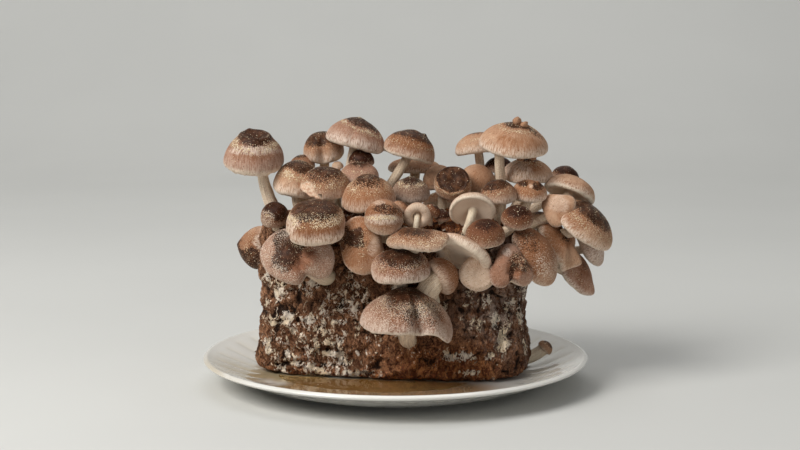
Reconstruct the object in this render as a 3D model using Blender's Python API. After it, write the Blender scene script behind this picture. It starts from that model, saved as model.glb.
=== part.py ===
"""Shiitake mushrooms growing on a sawdust block that stands on a dinner plate.

The tables are in millimetres and degrees, measured from the centre of the plate's foot:
+X right, +Y back, +Z up. The meshes are in metres. Every mushroom is one closed body, cap
and stem together, as it grew. Its skin is a round grid of rings: they run from the crown
over the dome and the margin, under the cap to the stem, and down the stem to its foot.
"""

import math
from dataclasses import dataclass

import bmesh
import bpy
import numpy as np
from mathutils import Vector
from mathutils.bvhtree import BVHTree

MM = 0.001
GAP = 0.35  # kept between pieces that touch

# The plate's centre: the mushrooms reach further to the right than to the left.
PLATE_CENTRE = (-7.8, 0.0)

# Plate
PLATE_RADIUS = 140.0
LIP_HEIGHT = 21.0
LIP_WIDTH = 6.0
SHOULDER = (13.0, 4.5)  # where the well turns into the rim: out from the well, and up
UNDER_RIM = (24.0, 6.1)  # a point under the rim, out from the well and up
PLATE_THICKNESS = 4.5
FOOT_RADIUS = 86.0
FOOT_WIDTH = 7.0
WELL_HEIGHT = 6.5
WELL_RADIUS = 101.0
PLATE_SIDES = 28

# Sawdust block
BLOCK_CENTRE = (-1.0, 17.0)
BLOCK_TURN = -9.0  # degrees about Z: its right end stands nearer the front
BLOCK_HALF_LENGTH = 98.0
BLOCK_HALF_DEPTH = 50.0
BLOCK_BASE = WELL_HEIGHT + GAP
BLOCK_TOP = 120.0
BLOCK_PLAN_POWER = 4.5  # how square the outline is: 2 would be an ellipse
BLOCK_TOP_POWER = 9.0
BLOCK_BASE_POWER = 16.0
BLOCK_TAPER = 0.035
BLOCK_LUMP = 1.6
BLOCK_SIDES = 22
BLOCK_FIRST_TURN = 0.11  # keeps the grid's columns off the middles of the faces
BLOCK_RING_SHIFT = 0.3  # draws the rings towards the block's two edges
BLOCK_RINGS = 10

# Water that drained from the block into the well
WATER_DEPTH = 0.8
WATER_WIDTH = 38.0
WATER_ENDS = (-78.0, 61.0)
WATER_REACH = 3.5  # how far it reaches in under the block's rounded foot, where that leaves room
WATER_TIP = 2.0  # width left at the two ends
WATER_STEPS = 10

# Mushroom grid
SIDES = 10
SMALL_SIDES = 8
SMALL_CAP = 15.6  # caps up to this radius have the smaller number of sides
KNOB_WIDTH = 0.28  # of the knob or dent on a crown, a share of the cap's radius
FOLD_SINK = 0.6  # how deep the fold over a cleft is, a share of the cleft's depth
MARGIN_END = 1.3  # where the rolled margin meets the gills, on the ring scale
RINGS = (0.36, 0.74, 1.0, 1.3, 2.0, 2.45, 3.0)
ROOT_DEPTH = 0.95  # how far out of the block's middle the stems are rooted: 1 is its surface


@dataclass(frozen=True)
class Mushroom:
    """One mushroom. Heights and widths marked as a share are shares of the rim's radius."""

    name: str
    cap: tuple  # centre of the rim
    radius: float
    dome: float  # height of the crown over the rim
    tilt: float  # of the cap's axis from straight up
    toward: float  # direction the cap leans to: 0 right, 90 back, 180 left, -90 front
    foot: tuple  # a point near the place on the block where it grows
    fullness: float = 2.0  # 1.5 conical, 2 round, 3 flat on top
    edge: float = 0.16  # radius of the rounded margin, a share
    curl: float = 120.0  # how far the margin rolls under
    hollow: float = 0.3  # how far the gills rise over the rim, a share of the dome
    knob: float = 0.0  # height of a point on the crown, below 0 for a dent, a share
    oval: float = 1.0  # width across the lean, a share
    lobes: tuple = ()  # (count, amount, direction) of swellings of the rim, shares
    wave: tuple = ()  # (count, amount, direction) of rises of the rim, shares
    cleft: tuple = ()  # (direction, half width, depth) of a notch and fold, depth a share
    bend: float = 0.0  # how far the sides across the lean droop, a share
    stem: tuple = (3.0, 4.4)  # radius under the cap and at the foot
    aside: tuple = (0.0, 0.0)  # the stem's place off the axis, shares: downhill and across
    pull: float = 0.4  # how far the stem keeps its direction at either end, a share of its length


# From the front of the cluster to its back, because a mushroom gives way to those before it.
MUSHROOMS = (
    Mushroom("front_low", (8, -64, 58), 30.5, 20, 6, -60, (11, -36, 36), fullness=1.6, edge=0.09,
             lobes=(2, 0.05, 60), cleft=(-9, 11, 0.34), bend=0.1, stem=(6, 6)),
    Mushroom("frosted_middle", (3.5, -61, 89.5), 20.5, 13, 13, -95, (5, -34, 76), fullness=2.6,
             edge=0.22, wave=(3, 0.05, 10), stem=(4.2, 4.6)),
    Mushroom("rolled_cream", (31, -56, 88.5), 13.5, 12, 62, 20, (24, -40, 68), edge=0.28, curl=85,
             hollow=0.15, stem=(6, 8.6), pull=0.75),
    Mushroom("pale_low", (57, -57, 88), 12.2, 4.5, 76, -84, (60, -42, 80), edge=0.24, oval=1.08,
             knob=-0.16, stem=(3, 4)),
    Mushroom("twisted", (46.5, -53, 101.5), 20.5, 8, 43, 52, (34, -35, 87), edge=0.14, curl=90,
             oval=1.08, hollow=0.2, stem=(2.4, 3.2), aside=(0.0, 0.75), pull=0.6),
    Mushroom("curled_bud", (15.3, -44, 126.5), 9.4, 9, 74, 92, (14, -36, 104), edge=0.22, curl=85,
             hollow=0.25, stem=(2.0, 3.0), pull=0.6),
    Mushroom("long_shelf", (15, -67, 113), 15, 7, 14, -124, (8, -38, 106), edge=0.24, oval=1.6,
             wave=(3, 0.1, 0), stem=(3.4, 4.4)),
    Mushroom("red_brown", (62, -56, 114), 14.2, 11, 22, -85, (60, -42, 108), edge=0.16,
             stem=(3, 4.4)),
    Mushroom("round_banded", (-8, -52, 125), 13, 13.5, 40, -92, (-8, -34, 114), fullness=2.4,
             edge=0.3, stem=(3.6, 4.4)),
    Mushroom("broad_left", (-55, -50, 119.5), 21.5, 17.5, 21, -92, (-52, -24, 112), fullness=2.6,
             edge=0.26, curl=100, lobes=(4, 0.05, 40), cleft=(-66, 11, 0.24), stem=(4.4, 5.4)),
    Mushroom("lobed_left", (-68, -46, 98), 23, 8, 68, -96, (-52, -26, 82), edge=0.14,
             lobes=(2, 0.14, 76), cleft=(30, 20, 0.26), stem=(5.5, 5.5)),
    Mushroom("brown_face", (-23.5, -47, 106), 18, 9, 70, -95, (-20, -30, 100), edge=0.16,
             lobes=(2, 0.18, 12), stem=(3.6, 4.6)),
    Mushroom("gnarled", (78.5, -58, 91.5), 15, 9, 66, -82, (76, -42, 90), edge=0.2,
             lobes=(3, 0.16, 60), cleft=(6, 22, 0.4), stem=(3.6, 4.4)),
    Mushroom("big_drooping", (92, -42, 97), 25, 15, 57, -36, (84, -34, 100), edge=0.12, oval=0.8,
             fullness=1.8, stem=(3.6, 4.6)),
    Mushroom("open_gills", (54, -37, 129), 15.8, 9, 52, 88, (55, -36, 114), edge=0.1, oval=1.02,
             hollow=0.15, stem=(2.8, 3.4)),
    Mushroom("dark_front_right", (85, -44, 124.5), 11.2, 9, 30, -85, (80, -32, 112), edge=0.3,
             knob=0.08, stem=(3, 4.4)),
    Mushroom("dome_middle", (-19, -24, 136), 19, 18, 15, -95, (-16, -18, 114), fullness=1.9,
             edge=0.2, stem=(4, 5)),
    Mushroom("torn", (-50, -15, 142.5), 17.5, 15, 15, -80, (-44, -8, 114), fullness=2.2, edge=0.14,
             cleft=(-50, 28, 0.26), stem=(3.6, 4.6)),
    Mushroom("dark_button", (-87, -14, 121), 10, 12, 28, -95, (-82, -6, 108), fullness=2.4,
             edge=0.3, stem=(4, 5)),
    Mushroom("left_dome", (-72, 5, 141), 17.5, 20, 14, -30, (-66, 6, 114), edge=0.24,
             stem=(3.8, 5)),
    Mushroom("tall_left", (-102.5, 5, 160), 21.5, 24.5, 12, -80, (-86, 8, 113), fullness=1.5,
             edge=0.38, curl=95, knob=-0.2, stem=(3.4, 5.6), aside=(0.0, 0.2)),
    Mushroom("shrivelled", (-99, 22, 94), 15, 18, 80, 185, (-88, 24, 92), fullness=1.5, edge=0.2,
             lobes=(3, 0.14, 40), wave=(2, 0.1, 0), stem=(5, 6)),
    Mushroom("small_middle", (11, 0, 137), 14, 12.5, 16, -90, (12, 2, 114), fullness=1.8,
             edge=0.26, stem=(3.2, 4.4)),
    Mushroom("pale_middle", (-26, 1, 149), 14, 10.5, 8, -90, (-26, 8, 114), edge=0.2, stem=(3, 4)),
    Mushroom("dark_middle", (-25, 17, 158), 9.6, 9.5, 6, -90, (-12, 14, 114), edge=0.2,
             stem=(2.6, 3.6)),
    Mushroom("pale_stub", (-42, 10, 155), 4.4, 4.4, 10, 180, (-40, 12, 114), edge=0.3,
             stem=(1.8, 2.6)),
    Mushroom("top_centre", (-29.5, 26, 173), 21.8, 18.5, 12, -10, (-34, 34, 114), fullness=1.4,
             edge=0.16, stem=(3.2, 4.6)),
    Mushroom("cleft_back", (-53, 40, 163), 15.5, 16, 16, -110, (-52, 42, 114), fullness=2.4,
             edge=0.26, cleft=(18, 16, 0.3), stem=(3.4, 4.6)),
    Mushroom("hidden_left", (-69, 34, 153), 9.5, 9, 5, 180, (-66, 36, 114), edge=0.24,
             stem=(2.6, 3.6)),
    Mushroom("peaked", (9.5, 24, 163.5), 19.6, 17.5, 16, 8, (-10, 24, 114), fullness=2.1,
             edge=0.14, knob=0.04, stem=(3.4, 4.2)),
    Mushroom("wide_back", (15, 62, 148), 20, 9, 6, 60, (10, 54, 114), edge=0.14, stem=(3.6, 4.8)),
    Mushroom("cup_face", (42, 18, 142), 14.5, 8, 56, -92, (44, 24, 114), edge=0.24, knob=-0.2,
             stem=(3, 4)),
    Mushroom("grey_back", (31, 36, 144), 11, 9, 40, -140, (34, 44, 114), edge=0.2, stem=(2.8, 3.8)),
    Mushroom("brown_back", (60, 38, 143), 12, 10, 35, -60, (56, 42, 114), edge=0.2,
             stem=(2.8, 3.8)),
    Mushroom("small_right", (73, -24, 138), 12.8, 12, 10, -100, (74, -22, 114), fullness=1.9,
             edge=0.26, stem=(2.6, 3.4)),
    Mushroom("scarred", (95, -16, 138.5), 12.5, 10, 14, -80, (86, -12, 113), edge=0.24,
             stem=(3.4, 4.4)),
    Mushroom("broad_right", (96, 14, 148.5), 18.5, 14, 8, -80, (84, 8, 113), fullness=1.5,
             edge=0.13, stem=(3.6, 4.8)),
    Mushroom("tall_right", (85, -2, 172.5), 24.8, 16, 13, -60, (76, 8, 114), fullness=1.9,
             edge=0.13, stem=(3.4, 3.8), aside=(0.0, -0.5), knob=0.1),
    Mushroom("pale_behind", (62, 52, 164), 17.8, 13, 8, 150, (68, 48, 114), edge=0.14,
             stem=(3.2, 4.2)),
    Mushroom("dark_back_right", (78, 58, 148), 11.5, 10, 10, 0, (76, 48, 113), edge=0.2,
             stem=(2.8, 3.8)),
    Mushroom("back_dark_right", (127, 54, 141), 11, 11, 18, 20, (90, 36, 110), edge=0.2,
             stem=(3, 4.2)),
    Mushroom("shelf_right", (126, 6, 137), 19, 12, 24, 30, (93, 8, 108), edge=0.16,
             stem=(3.4, 4.4)),
    Mushroom("pale_lobed", (114.5, -21, 127), 13.5, 6, 66, -110, (94, -12, 112), edge=0.16,
             lobes=(3, 0.12, 0), stem=(3, 3.8), pull=0.5),
    Mushroom("far_right", (136, -14, 116), 22.5, 15, 48, -30, (96, -4, 106), edge=0.14,
             lobes=(3, 0.04, 10), stem=(3.6, 4.6)),
    Mushroom("folded_right", (117, -8, 101), 22, 9, 54, -38, (97, 4, 96), edge=0.16, oval=0.8,
             lobes=(5, 0.06, 30), wave=(4, 0.06, 20), stem=(3.4, 4.4)),
    Mushroom("flat_right", (103, -4, 119), 8.5, 5, 14, -80, (95, -3, 110), edge=0.24,
             stem=(2.4, 3.2)),
    Mushroom("grey_under", (142, 18, 95), 15, 9, 60, -15, (98, 24, 96), edge=0.2,
             lobes=(4, 0.06, 20), stem=(3, 4)),
    Mushroom("hanging_right", (131, 4, 79.5), 19.5, 9, 58, -30, (97, 6, 96), fullness=1.8,
             edge=0.16, oval=0.85, stem=(3.4, 4.4)),
    Mushroom("pin_low_right", (110, 14, 21), 6, 5.5, 44, 0, (97, 12, 13), edge=0.2, curl=80,
             stem=(2.8, 4.4), pull=0.5),
    Mushroom("tucked_middle", (4, -36, 131), 6.5, 5, 30, 0, (4, -30, 114), edge=0.24,
             stem=(2, 2.6)),
    Mushroom("tucked_bud", (26, -32, 128), 6, 5, 40, -30, (26, -28, 114), edge=0.3,
             stem=(2, 2.6)),
    Mushroom("dark_pin", (33, -30, 124), 6, 5, 20, -90, (33, -28, 114), edge=0.3, stem=(2, 2.6)),
    Mushroom("rear_left_high", (-58, 88, 122), 16, 13, 24, 105, (-54, 66, 108), edge=0.2,
             stem=(3.4, 4.6)),
    Mushroom("rear_left_low", (-64, 98, 62), 13, 9, 40, 100, (-60, 70, 56), edge=0.24,
             stem=(3.4, 4.4)),
    Mushroom("rear_middle", (-10, 96, 82), 20, 14, 20, 85, (-6, 68, 70), edge=0.2,
             lobes=(3, 0.06, 20), stem=(4, 5)),
    Mushroom("rear_right_high", (36, 88, 116), 15, 12, 26, 80, (34, 64, 106), edge=0.2,
             stem=(3.4, 4.6)),
    Mushroom("rear_right_low", (64, 80, 60), 11, 10, 34, 75, (60, 58, 52), edge=0.26,
             stem=(3.2, 4.2)),
)


# --- The block's form ------------------------------------------------------------------------

def block_axes():
    """The block's own directions in plan: along its length and to its back."""
    turn = math.radians(BLOCK_TURN)
    return (math.cos(turn), math.sin(turn)), (-math.sin(turn), math.cos(turn))


def block_edge(x):
    """How far the block's even outline stands from its long axis at a place along that."""
    power = BLOCK_PLAN_POWER
    return BLOCK_HALF_DEPTH * (1 - abs(x / BLOCK_HALF_LENGTH) ** power) ** (1 / power)


def block_lump(x, y, z):
    """Unevenness of the sawdust at a point on the block, in mm along its outward direction."""
    coarse = np.sin(x / 15 + 1.3) * np.sin(z / 13 + 0.4) + np.sin(y / 14 + 2.0) * np.sin(z / 9)
    fine = np.sin(x / 7 + z / 8) * np.sin(y / 8 - z / 6 + 1.0)
    return BLOCK_LUMP * (0.7 * coarse + 0.5 * fine)


def block_skin(turn, fall):
    """Points on the block at angles turn around it and fall down from its top's middle."""
    rise_power = BLOCK_TOP_POWER if fall < math.pi / 2 else BLOCK_BASE_POWER
    reach = np.sin(fall) ** (2 / rise_power)
    level = np.sign(np.cos(fall)) * np.abs(np.cos(fall)) ** (2 / rise_power)
    power = BLOCK_PLAN_POWER
    outline = ((np.abs(np.cos(turn)) / BLOCK_HALF_LENGTH) ** power
               + (np.abs(np.sin(turn)) / BLOCK_HALF_DEPTH) ** power) ** (-1 / power)
    span = reach * outline * (1 - BLOCK_TAPER * (level + 1) / 2)
    along, back = block_axes()
    x = span * np.cos(turn)
    y = span * np.sin(turn)
    half = (BLOCK_TOP - BLOCK_BASE) / 2
    z = BLOCK_BASE + half * (1 + level)
    lump = block_lump(x, y, z)
    swell = 1 + lump * reach / outline
    rough_top = lump * (1 - reach ** 4) * (level > 0)
    return (BLOCK_CENTRE[0] + swell * (x * along[0] + y * back[0]),
            BLOCK_CENTRE[1] + swell * (x * along[1] + y * back[1]),
            z + rough_top)


def root_of(foot):
    """Where a stem is rooted just under the block's skin near foot, and its way out of it."""
    along, back = (np.array(axis) for axis in block_axes())
    offset = np.array(foot[:2], float) - BLOCK_CENTRE
    half = (BLOCK_TOP - BLOCK_BASE) / 2
    middle = BLOCK_BASE + half
    shares = np.array([offset @ along / BLOCK_HALF_LENGTH, offset @ back / BLOCK_HALF_DEPTH,
                       (foot[2] - middle) / half])
    power = BLOCK_PLAN_POWER
    shares *= ROOT_DEPTH / (np.abs(shares) ** power).sum() ** (1 / power)
    slope = np.sign(shares) * np.abs(shares) ** (power - 1)
    slope /= (BLOCK_HALF_LENGTH, BLOCK_HALF_DEPTH, half)
    sizes = shares * (BLOCK_HALF_LENGTH, BLOCK_HALF_DEPTH, half)
    plan = np.array(BLOCK_CENTRE) + sizes[0] * along + sizes[1] * back
    out = np.array([*(slope[0] * along + slope[1] * back), slope[2]])
    return np.array([*plan, middle + sizes[2]]), out / np.linalg.norm(out)


# --- The mushrooms' form ---------------------------------------------------------------------

def cap_frame(mushroom):
    """The cap's directions: downhill in the rim's plane, across it, and out of the crown."""
    tilt, toward = math.radians(mushroom.tilt), math.radians(mushroom.toward)
    downhill = np.array([math.cos(tilt) * math.cos(toward), math.cos(tilt) * math.sin(toward),
                         -math.sin(tilt)])
    across = np.array([-math.sin(toward), math.cos(toward), 0.0])
    return downhill, across, np.cross(downhill, across)


def cap_section(mushroom, ring):
    """Distance from the axis and height over the rim at a ring, as shares of the radius."""
    dome = mushroom.dome / mushroom.radius
    edge = mushroom.edge
    if ring <= 1:
        angle = ring * math.pi / 2
        reach = math.sin(angle) ** (2 / mushroom.fullness)
        return reach, dome * math.cos(angle) + mushroom.knob * math.exp(-(reach / KNOB_WIDTH) ** 2)
    curl = math.radians(mushroom.curl)
    if ring <= MARGIN_END:
        angle = curl * (ring - 1) / (MARGIN_END - 1)
        return 1 - edge + edge * math.cos(angle), -edge * math.sin(angle)
    inward = (ring - MARGIN_END) / (2 - MARGIN_END)
    start, low = 1 - edge + edge * math.cos(curl), -edge * math.sin(curl)
    joint = mushroom.stem[0] / mushroom.radius
    rise = math.sin(inward * math.pi / 2)
    return start + (joint - start) * inward, low + (mushroom.hollow * dome - low) * rise


def cap_ring(mushroom, ring, angles):
    """World points of one ring of the cap."""
    reach, height = cap_section(mushroom, ring)
    reach = reach * np.ones_like(angles)
    height = height * np.ones_like(angles)
    weight = reach ** 2
    if mushroom.lobes:
        count, amount, direction = mushroom.lobes
        reach *= 1 + amount * weight * np.cos(count * (angles - math.radians(direction)))
    if mushroom.cleft:
        direction, width, depth = mushroom.cleft
        apart = np.angle(np.exp(1j * (angles - math.radians(direction))))
        fold = depth * np.exp(-(apart / math.radians(width)) ** 2)
        height -= FOLD_SINK * fold * np.sqrt(weight) * (1 - 0.5 * weight)
        reach *= 1 - fold * weight
    if mushroom.wave:
        count, amount, direction = mushroom.wave
        height += amount * weight * np.cos(count * (angles - math.radians(direction)))
    x = reach * np.cos(angles)
    y = reach * np.sin(angles) * mushroom.oval
    height -= mushroom.bend * y ** 2
    inward = max(0.0, (ring - MARGIN_END) / (2 - MARGIN_END))
    x += mushroom.aside[0] * inward
    y += mushroom.aside[1] * inward
    downhill, across, up = cap_frame(mushroom)
    local = np.outer(x, downhill) + np.outer(y, across) + np.outer(height, up)
    return np.array(mushroom.cap) + mushroom.radius * local


def stem_rings(mushroom, shares, angles):
    """World points of the stem's rings, at shares of its length down from the cap."""
    downhill, across, up = cap_frame(mushroom)
    aside = mushroom.radius * (mushroom.aside[0] * downhill + mushroom.aside[1] * across)
    start = np.array(mushroom.cap) + mushroom.hollow * mushroom.dome * up + aside
    end, out = root_of(mushroom.foot)
    pull = mushroom.pull * np.linalg.norm(end - start)
    controls = np.array([start, start - pull * up, end + pull * out, end])
    side = downhill
    rings = []
    for share in shares:
        rest = 1 - share
        weights = (rest ** 3, 3 * rest ** 2 * share, 3 * rest * share ** 2, share ** 3)
        slopes = (-rest ** 2, rest ** 2 - 2 * rest * share, 2 * rest * share - share ** 2,
                  share ** 2)
        centre = np.dot(weights, controls)
        along = np.dot(slopes, controls)
        along /= np.linalg.norm(along)
        side = side - (side @ along) * along
        side /= np.linalg.norm(side)
        radius = mushroom.stem[0] + (mushroom.stem[1] - mushroom.stem[0]) * share ** 1.5
        turned = np.outer(np.cos(angles), side) + np.outer(np.sin(angles), np.cross(side, along))
        rings.append(centre + radius * turned)
    return rings, centre


# --- Meshes ----------------------------------------------------------------------------------

def clear_scene():
    """Remove whatever the scene holds."""
    for thing in list(bpy.data.objects):
        bpy.data.objects.remove(thing, do_unlink=True)


def surface(name, colour, roughness, clear=0.0):
    """A plain material."""
    material = bpy.data.materials.new(name)
    material.use_nodes = True
    shader = material.node_tree.nodes["Principled BSDF"]
    shader.inputs["Base Color"].default_value = (*colour, 1)
    shader.inputs["Roughness"].default_value = roughness
    shader.inputs["Metallic"].default_value = 0.0
    shader.inputs["Transmission Weight"].default_value = clear
    return material


def ringed_mesh(name, rings, first, last):
    """A closed mesh through rings of points, from one end point to the other, in mm."""
    shape = bmesh.new()
    rows = [[shape.verts.new(point * MM) for point in ring] for ring in rings]
    for upper, lower in zip(rows, rows[1:]):
        for i in range(len(upper)):
            shape.faces.new((upper[i - 1], lower[i - 1], lower[i], upper[i]))
    for point, row, turned in ((first, rows[0], False), (last, rows[-1], True)):
        tip = shape.verts.new(point * MM)
        for i in range(len(row)):
            corners = (tip, row[i - 1], row[i])
            shape.faces.new(corners[::-1] if turned else corners)
    mesh = bpy.data.meshes.new(name)
    shape.to_mesh(mesh)
    shape.free()
    return mesh


def add_piece(name, mesh, material, stand, place=(0.0, 0.0, 0.0)):
    """An object of the mesh, smooth but for its creases, standing at place on the stand."""
    piece = bpy.data.objects.new(name, mesh)
    bpy.context.scene.collection.objects.link(piece)
    mesh.materials.append(material)
    mesh.shade_smooth()
    mesh.set_sharp_from_angle(angle=math.radians(50))
    piece.parent = stand
    piece.location = Vector(place) * MM
    return piece


def plate_profile():
    """Radius and height down the plate's section, from the well's middle to under the foot."""
    lip = ((PLATE_RADIUS - LIP_WIDTH, LIP_HEIGHT - 1.6), (PLATE_RADIUS - 3, LIP_HEIGHT),
           (PLATE_RADIUS, LIP_HEIGHT - 1.8), (PLATE_RADIUS - 1.4, LIP_HEIGHT - 3.4),
           (WELL_RADIUS + UNDER_RIM[0], WELL_HEIGHT + UNDER_RIM[1]))
    inner_foot = FOOT_RADIUS - FOOT_WIDTH
    underside = WELL_HEIGHT - PLATE_THICKNESS
    return ((WELL_RADIUS, WELL_HEIGHT), (WELL_RADIUS + SHOULDER[0], WELL_HEIGHT + SHOULDER[1]),
            *lip, (WELL_RADIUS + 6, WELL_HEIGHT - 1.3), (FOOT_RADIUS + 3, underside + 0.2),
            (FOOT_RADIUS, 0.0), (inner_foot, 0.0), (inner_foot - 2.5, underside))


def plate_mesh():
    """The plate, turned about its axis."""
    angles = np.linspace(0, 2 * math.pi, PLATE_SIDES, endpoint=False)
    rings = [np.stack([r * np.cos(angles), r * np.sin(angles), np.full_like(angles, z)], 1)
             for r, z in plate_profile()]
    return ringed_mesh("plate", rings, np.array([0, 0, WELL_HEIGHT]),
                       np.array([0, 0, WELL_HEIGHT - PLATE_THICKNESS]))


def block_mesh():
    """The sawdust block, as rings from the middle of its top to that of its base."""
    turns = np.linspace(0, 2 * math.pi, BLOCK_SIDES, endpoint=False) + BLOCK_FIRST_TURN
    falls = math.pi * np.linspace(0, 1, BLOCK_RINGS + 2)[1:-1]
    falls += BLOCK_RING_SHIFT * np.sin(2 * falls)
    rings = [np.stack(block_skin(turns, fall), 1) for fall in falls]
    top, base = (np.array(block_skin(0.0, end)) for end in (1e-4, math.pi - 1e-4))
    return ringed_mesh("block", rings, top, base)


def water_mesh():
    """A film of water between the block's front and the rim of the well."""
    along, back = (np.array(axis) for axis in block_axes())
    start, stop = WATER_ENDS
    shape = bmesh.new()
    steps = []
    for i in range(WATER_STEPS + 1):
        share = i / WATER_STEPS
        run = start + (stop - start) * share
        inner = BLOCK_CENTRE + run * along - (block_edge(run) - WATER_REACH) * back
        width = WATER_TIP + (WATER_WIDTH - WATER_TIP) * math.sin(math.pi * share) ** 0.7
        outer = inner - width * (back + 0.25 * (0.5 - share) * along)
        low, high = WELL_HEIGHT + GAP, WELL_HEIGHT + GAP + WATER_DEPTH
        steps.append([shape.verts.new(Vector((*plan, z)) * MM)
                      for plan, z in ((inner, low), (outer, low), (outer, high), (inner, high))])
    for a, b in zip(steps, steps[1:]):
        for i in range(4):
            shape.faces.new((a[i - 1], a[i], b[i], b[i - 1]))
    shape.faces.new(steps[0][::-1])
    shape.faces.new(steps[-1])
    bmesh.ops.recalc_face_normals(shape, faces=shape.faces)
    mesh = bpy.data.meshes.new("water")
    shape.to_mesh(mesh)
    shape.free()
    return mesh


def mushroom_mesh(mushroom):
    """One mushroom about the centre of its rim."""
    sides = SMALL_SIDES if mushroom.radius <= SMALL_CAP else SIDES
    angles = np.linspace(0, 2 * math.pi, sides, endpoint=False)
    rings = [cap_ring(mushroom, ring, angles) for ring in RINGS if ring <= 2]
    stem, foot = stem_rings(mushroom, [ring - 2 for ring in RINGS if ring > 2], angles)
    crown = cap_ring(mushroom, 0.0, angles[:1])[0]
    centre = np.array(mushroom.cap)
    rings = [ring - centre for ring in rings + stem]
    return ringed_mesh(mushroom.name, rings, crown - centre, foot - centre)


# --- Fitting the pieces to each other --------------------------------------------------------

def tree_of(piece):
    """A search tree of the piece's faces where they stand."""
    place = piece.location
    corners = [place + vertex.co for vertex in piece.data.vertices]
    return BVHTree.FromPolygons(corners, [face.vertices for face in piece.data.polygons])


def swollen(piece):
    """A guide a gap larger than the piece all round, which cuts its neighbours."""
    guide = bpy.data.objects.new(piece.name + "_room", piece.data.copy())
    bpy.context.scene.collection.objects.link(guide)
    guide.parent = piece.parent
    guide.location = piece.location
    guide.hide_render = True
    guide.display_type = "WIRE"
    growth = guide.modifiers.new("growth", "DISPLACE")
    growth.strength = GAP * MM
    growth.mid_level = 0.0
    return guide


def give_way(piece, guide):
    """Cut the room that a neighbour takes out of the piece."""
    cut = piece.modifiers.new(guide.name, "BOOLEAN")
    cut.operation = "DIFFERENCE"
    cut.solver = "EXACT"
    cut.object = guide


def main():
    """Model the pieces and fit them to each other."""
    clear_scene()
    stand = bpy.data.objects.new("plate_centre", None)
    bpy.context.scene.collection.objects.link(stand)
    stand.location = Vector((*PLATE_CENTRE, 0)) * MM
    add_piece("plate", plate_mesh(), surface("glaze", (0.80, 0.79, 0.75), 0.12), stand)
    wet = surface("amber_water", (0.55, 0.33, 0.12), 0.03, clear=1.0)
    water = add_piece("pooled_water", water_mesh(), wet, stand)
    block = add_piece("sawdust_block", block_mesh(), surface("sawdust", (0.09, 0.04, 0.02), 0.85),
                      stand)
    guides = {block: swollen(block)}
    give_way(water, guides[block])
    trees = {block: tree_of(block)}
    skin = surface("mushroom_skin", (0.42, 0.27, 0.18), 0.6)
    for mushroom in MUSHROOMS:
        piece = add_piece("mushroom_" + mushroom.name, mushroom_mesh(mushroom), skin, stand,
                          mushroom.cap)
        tree = tree_of(piece)
        for other, other_tree in trees.items():
            if tree.overlap(other_tree):
                guides.setdefault(other, None)
                guides[other] = guides[other] or swollen(other)
                give_way(piece, guides[other])
        trees[piece] = tree


main()
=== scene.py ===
"""The looks of a shiitake growing block: mushrooms, crusted sawdust, drained water and plate.

All sizes in the tables are millimetres and degrees, measured from the centre of the plate's
foot: +X right, +Y back, +Z up. Every finished piece has its place in its mesh, in metres.
"""

import itertools
import logging
import math
from dataclasses import dataclass
from enum import Enum

import bpy
import numpy as np
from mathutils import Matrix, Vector, noise

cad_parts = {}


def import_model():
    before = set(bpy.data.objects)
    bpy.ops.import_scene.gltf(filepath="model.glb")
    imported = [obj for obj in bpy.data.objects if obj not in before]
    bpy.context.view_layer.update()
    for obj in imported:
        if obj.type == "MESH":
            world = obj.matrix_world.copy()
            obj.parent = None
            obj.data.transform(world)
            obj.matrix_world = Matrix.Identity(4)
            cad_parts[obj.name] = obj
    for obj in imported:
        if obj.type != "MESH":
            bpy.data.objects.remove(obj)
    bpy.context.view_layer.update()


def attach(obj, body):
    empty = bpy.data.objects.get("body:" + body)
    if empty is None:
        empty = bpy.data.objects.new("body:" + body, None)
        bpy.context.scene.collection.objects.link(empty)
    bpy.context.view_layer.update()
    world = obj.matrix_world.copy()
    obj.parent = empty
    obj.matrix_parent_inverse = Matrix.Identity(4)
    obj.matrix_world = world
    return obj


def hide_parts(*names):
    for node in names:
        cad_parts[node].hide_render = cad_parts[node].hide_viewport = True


Numbers = np.ndarray
Piece = bpy.types.Object
Socket = bpy.types.NodeSocket
Triple = tuple[float, float, float]  # a colour, a place or a size

MM = 0.001
TURN = 2 * math.pi
PLATE_CENTRE = np.array((-7.8, 0.0, 0.0))
ROOT = "root"
MARGIN_END = 1.3  # the ring scale: 0 crown, 1 widest, 1.3 end of the margin, 2 stem, 3 foot
JOINT = 2.0
FOOT = 3.0
KNOB_WIDTH = 0.28  # width of a point on the crown, a share of the radius
FOLD_SINK = 0.6  # how deep the fold over a cleft is, a share of the cleft
LARGE_CAP = 17.5  # caps from this radius on have the finest mesh
MIDDLE_CAP = 12.0
GRAIN_FALL = 0.35  # how fast the fibres change down a mushroom, against around it
LOOK_DOWN = 0.14  # how much a step to the back looks like a step up
GRAIN_CORNERS = 6  # corners of one flake
GILL_SHARE = 0.075  # usual depth of the gills, a share of the cap's radius
GILL_LIMIT = 1.3  # largest depth of the gills in millimetres
FLARE = 0.7  # how much wider a stem gets right under its cap, in millimetres
FLARE_FALL = 2.2  # length over which that is lost
HASH_STEPS = (12.9898, 78.233, 37.719)
HASH_SPREAD = 43758.5453  # large, so that the rest of a product with it looks like chance
MASKS = ("dark", "flecks", "frost", "pale", "blush", "wrinkle", "torn", "tuft", "rim", "gills",
         "between", "stem", "collar")

log = logging.getLogger("growing_block")


# --- Small tools -----------------------------------------------------------------------------

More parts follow.
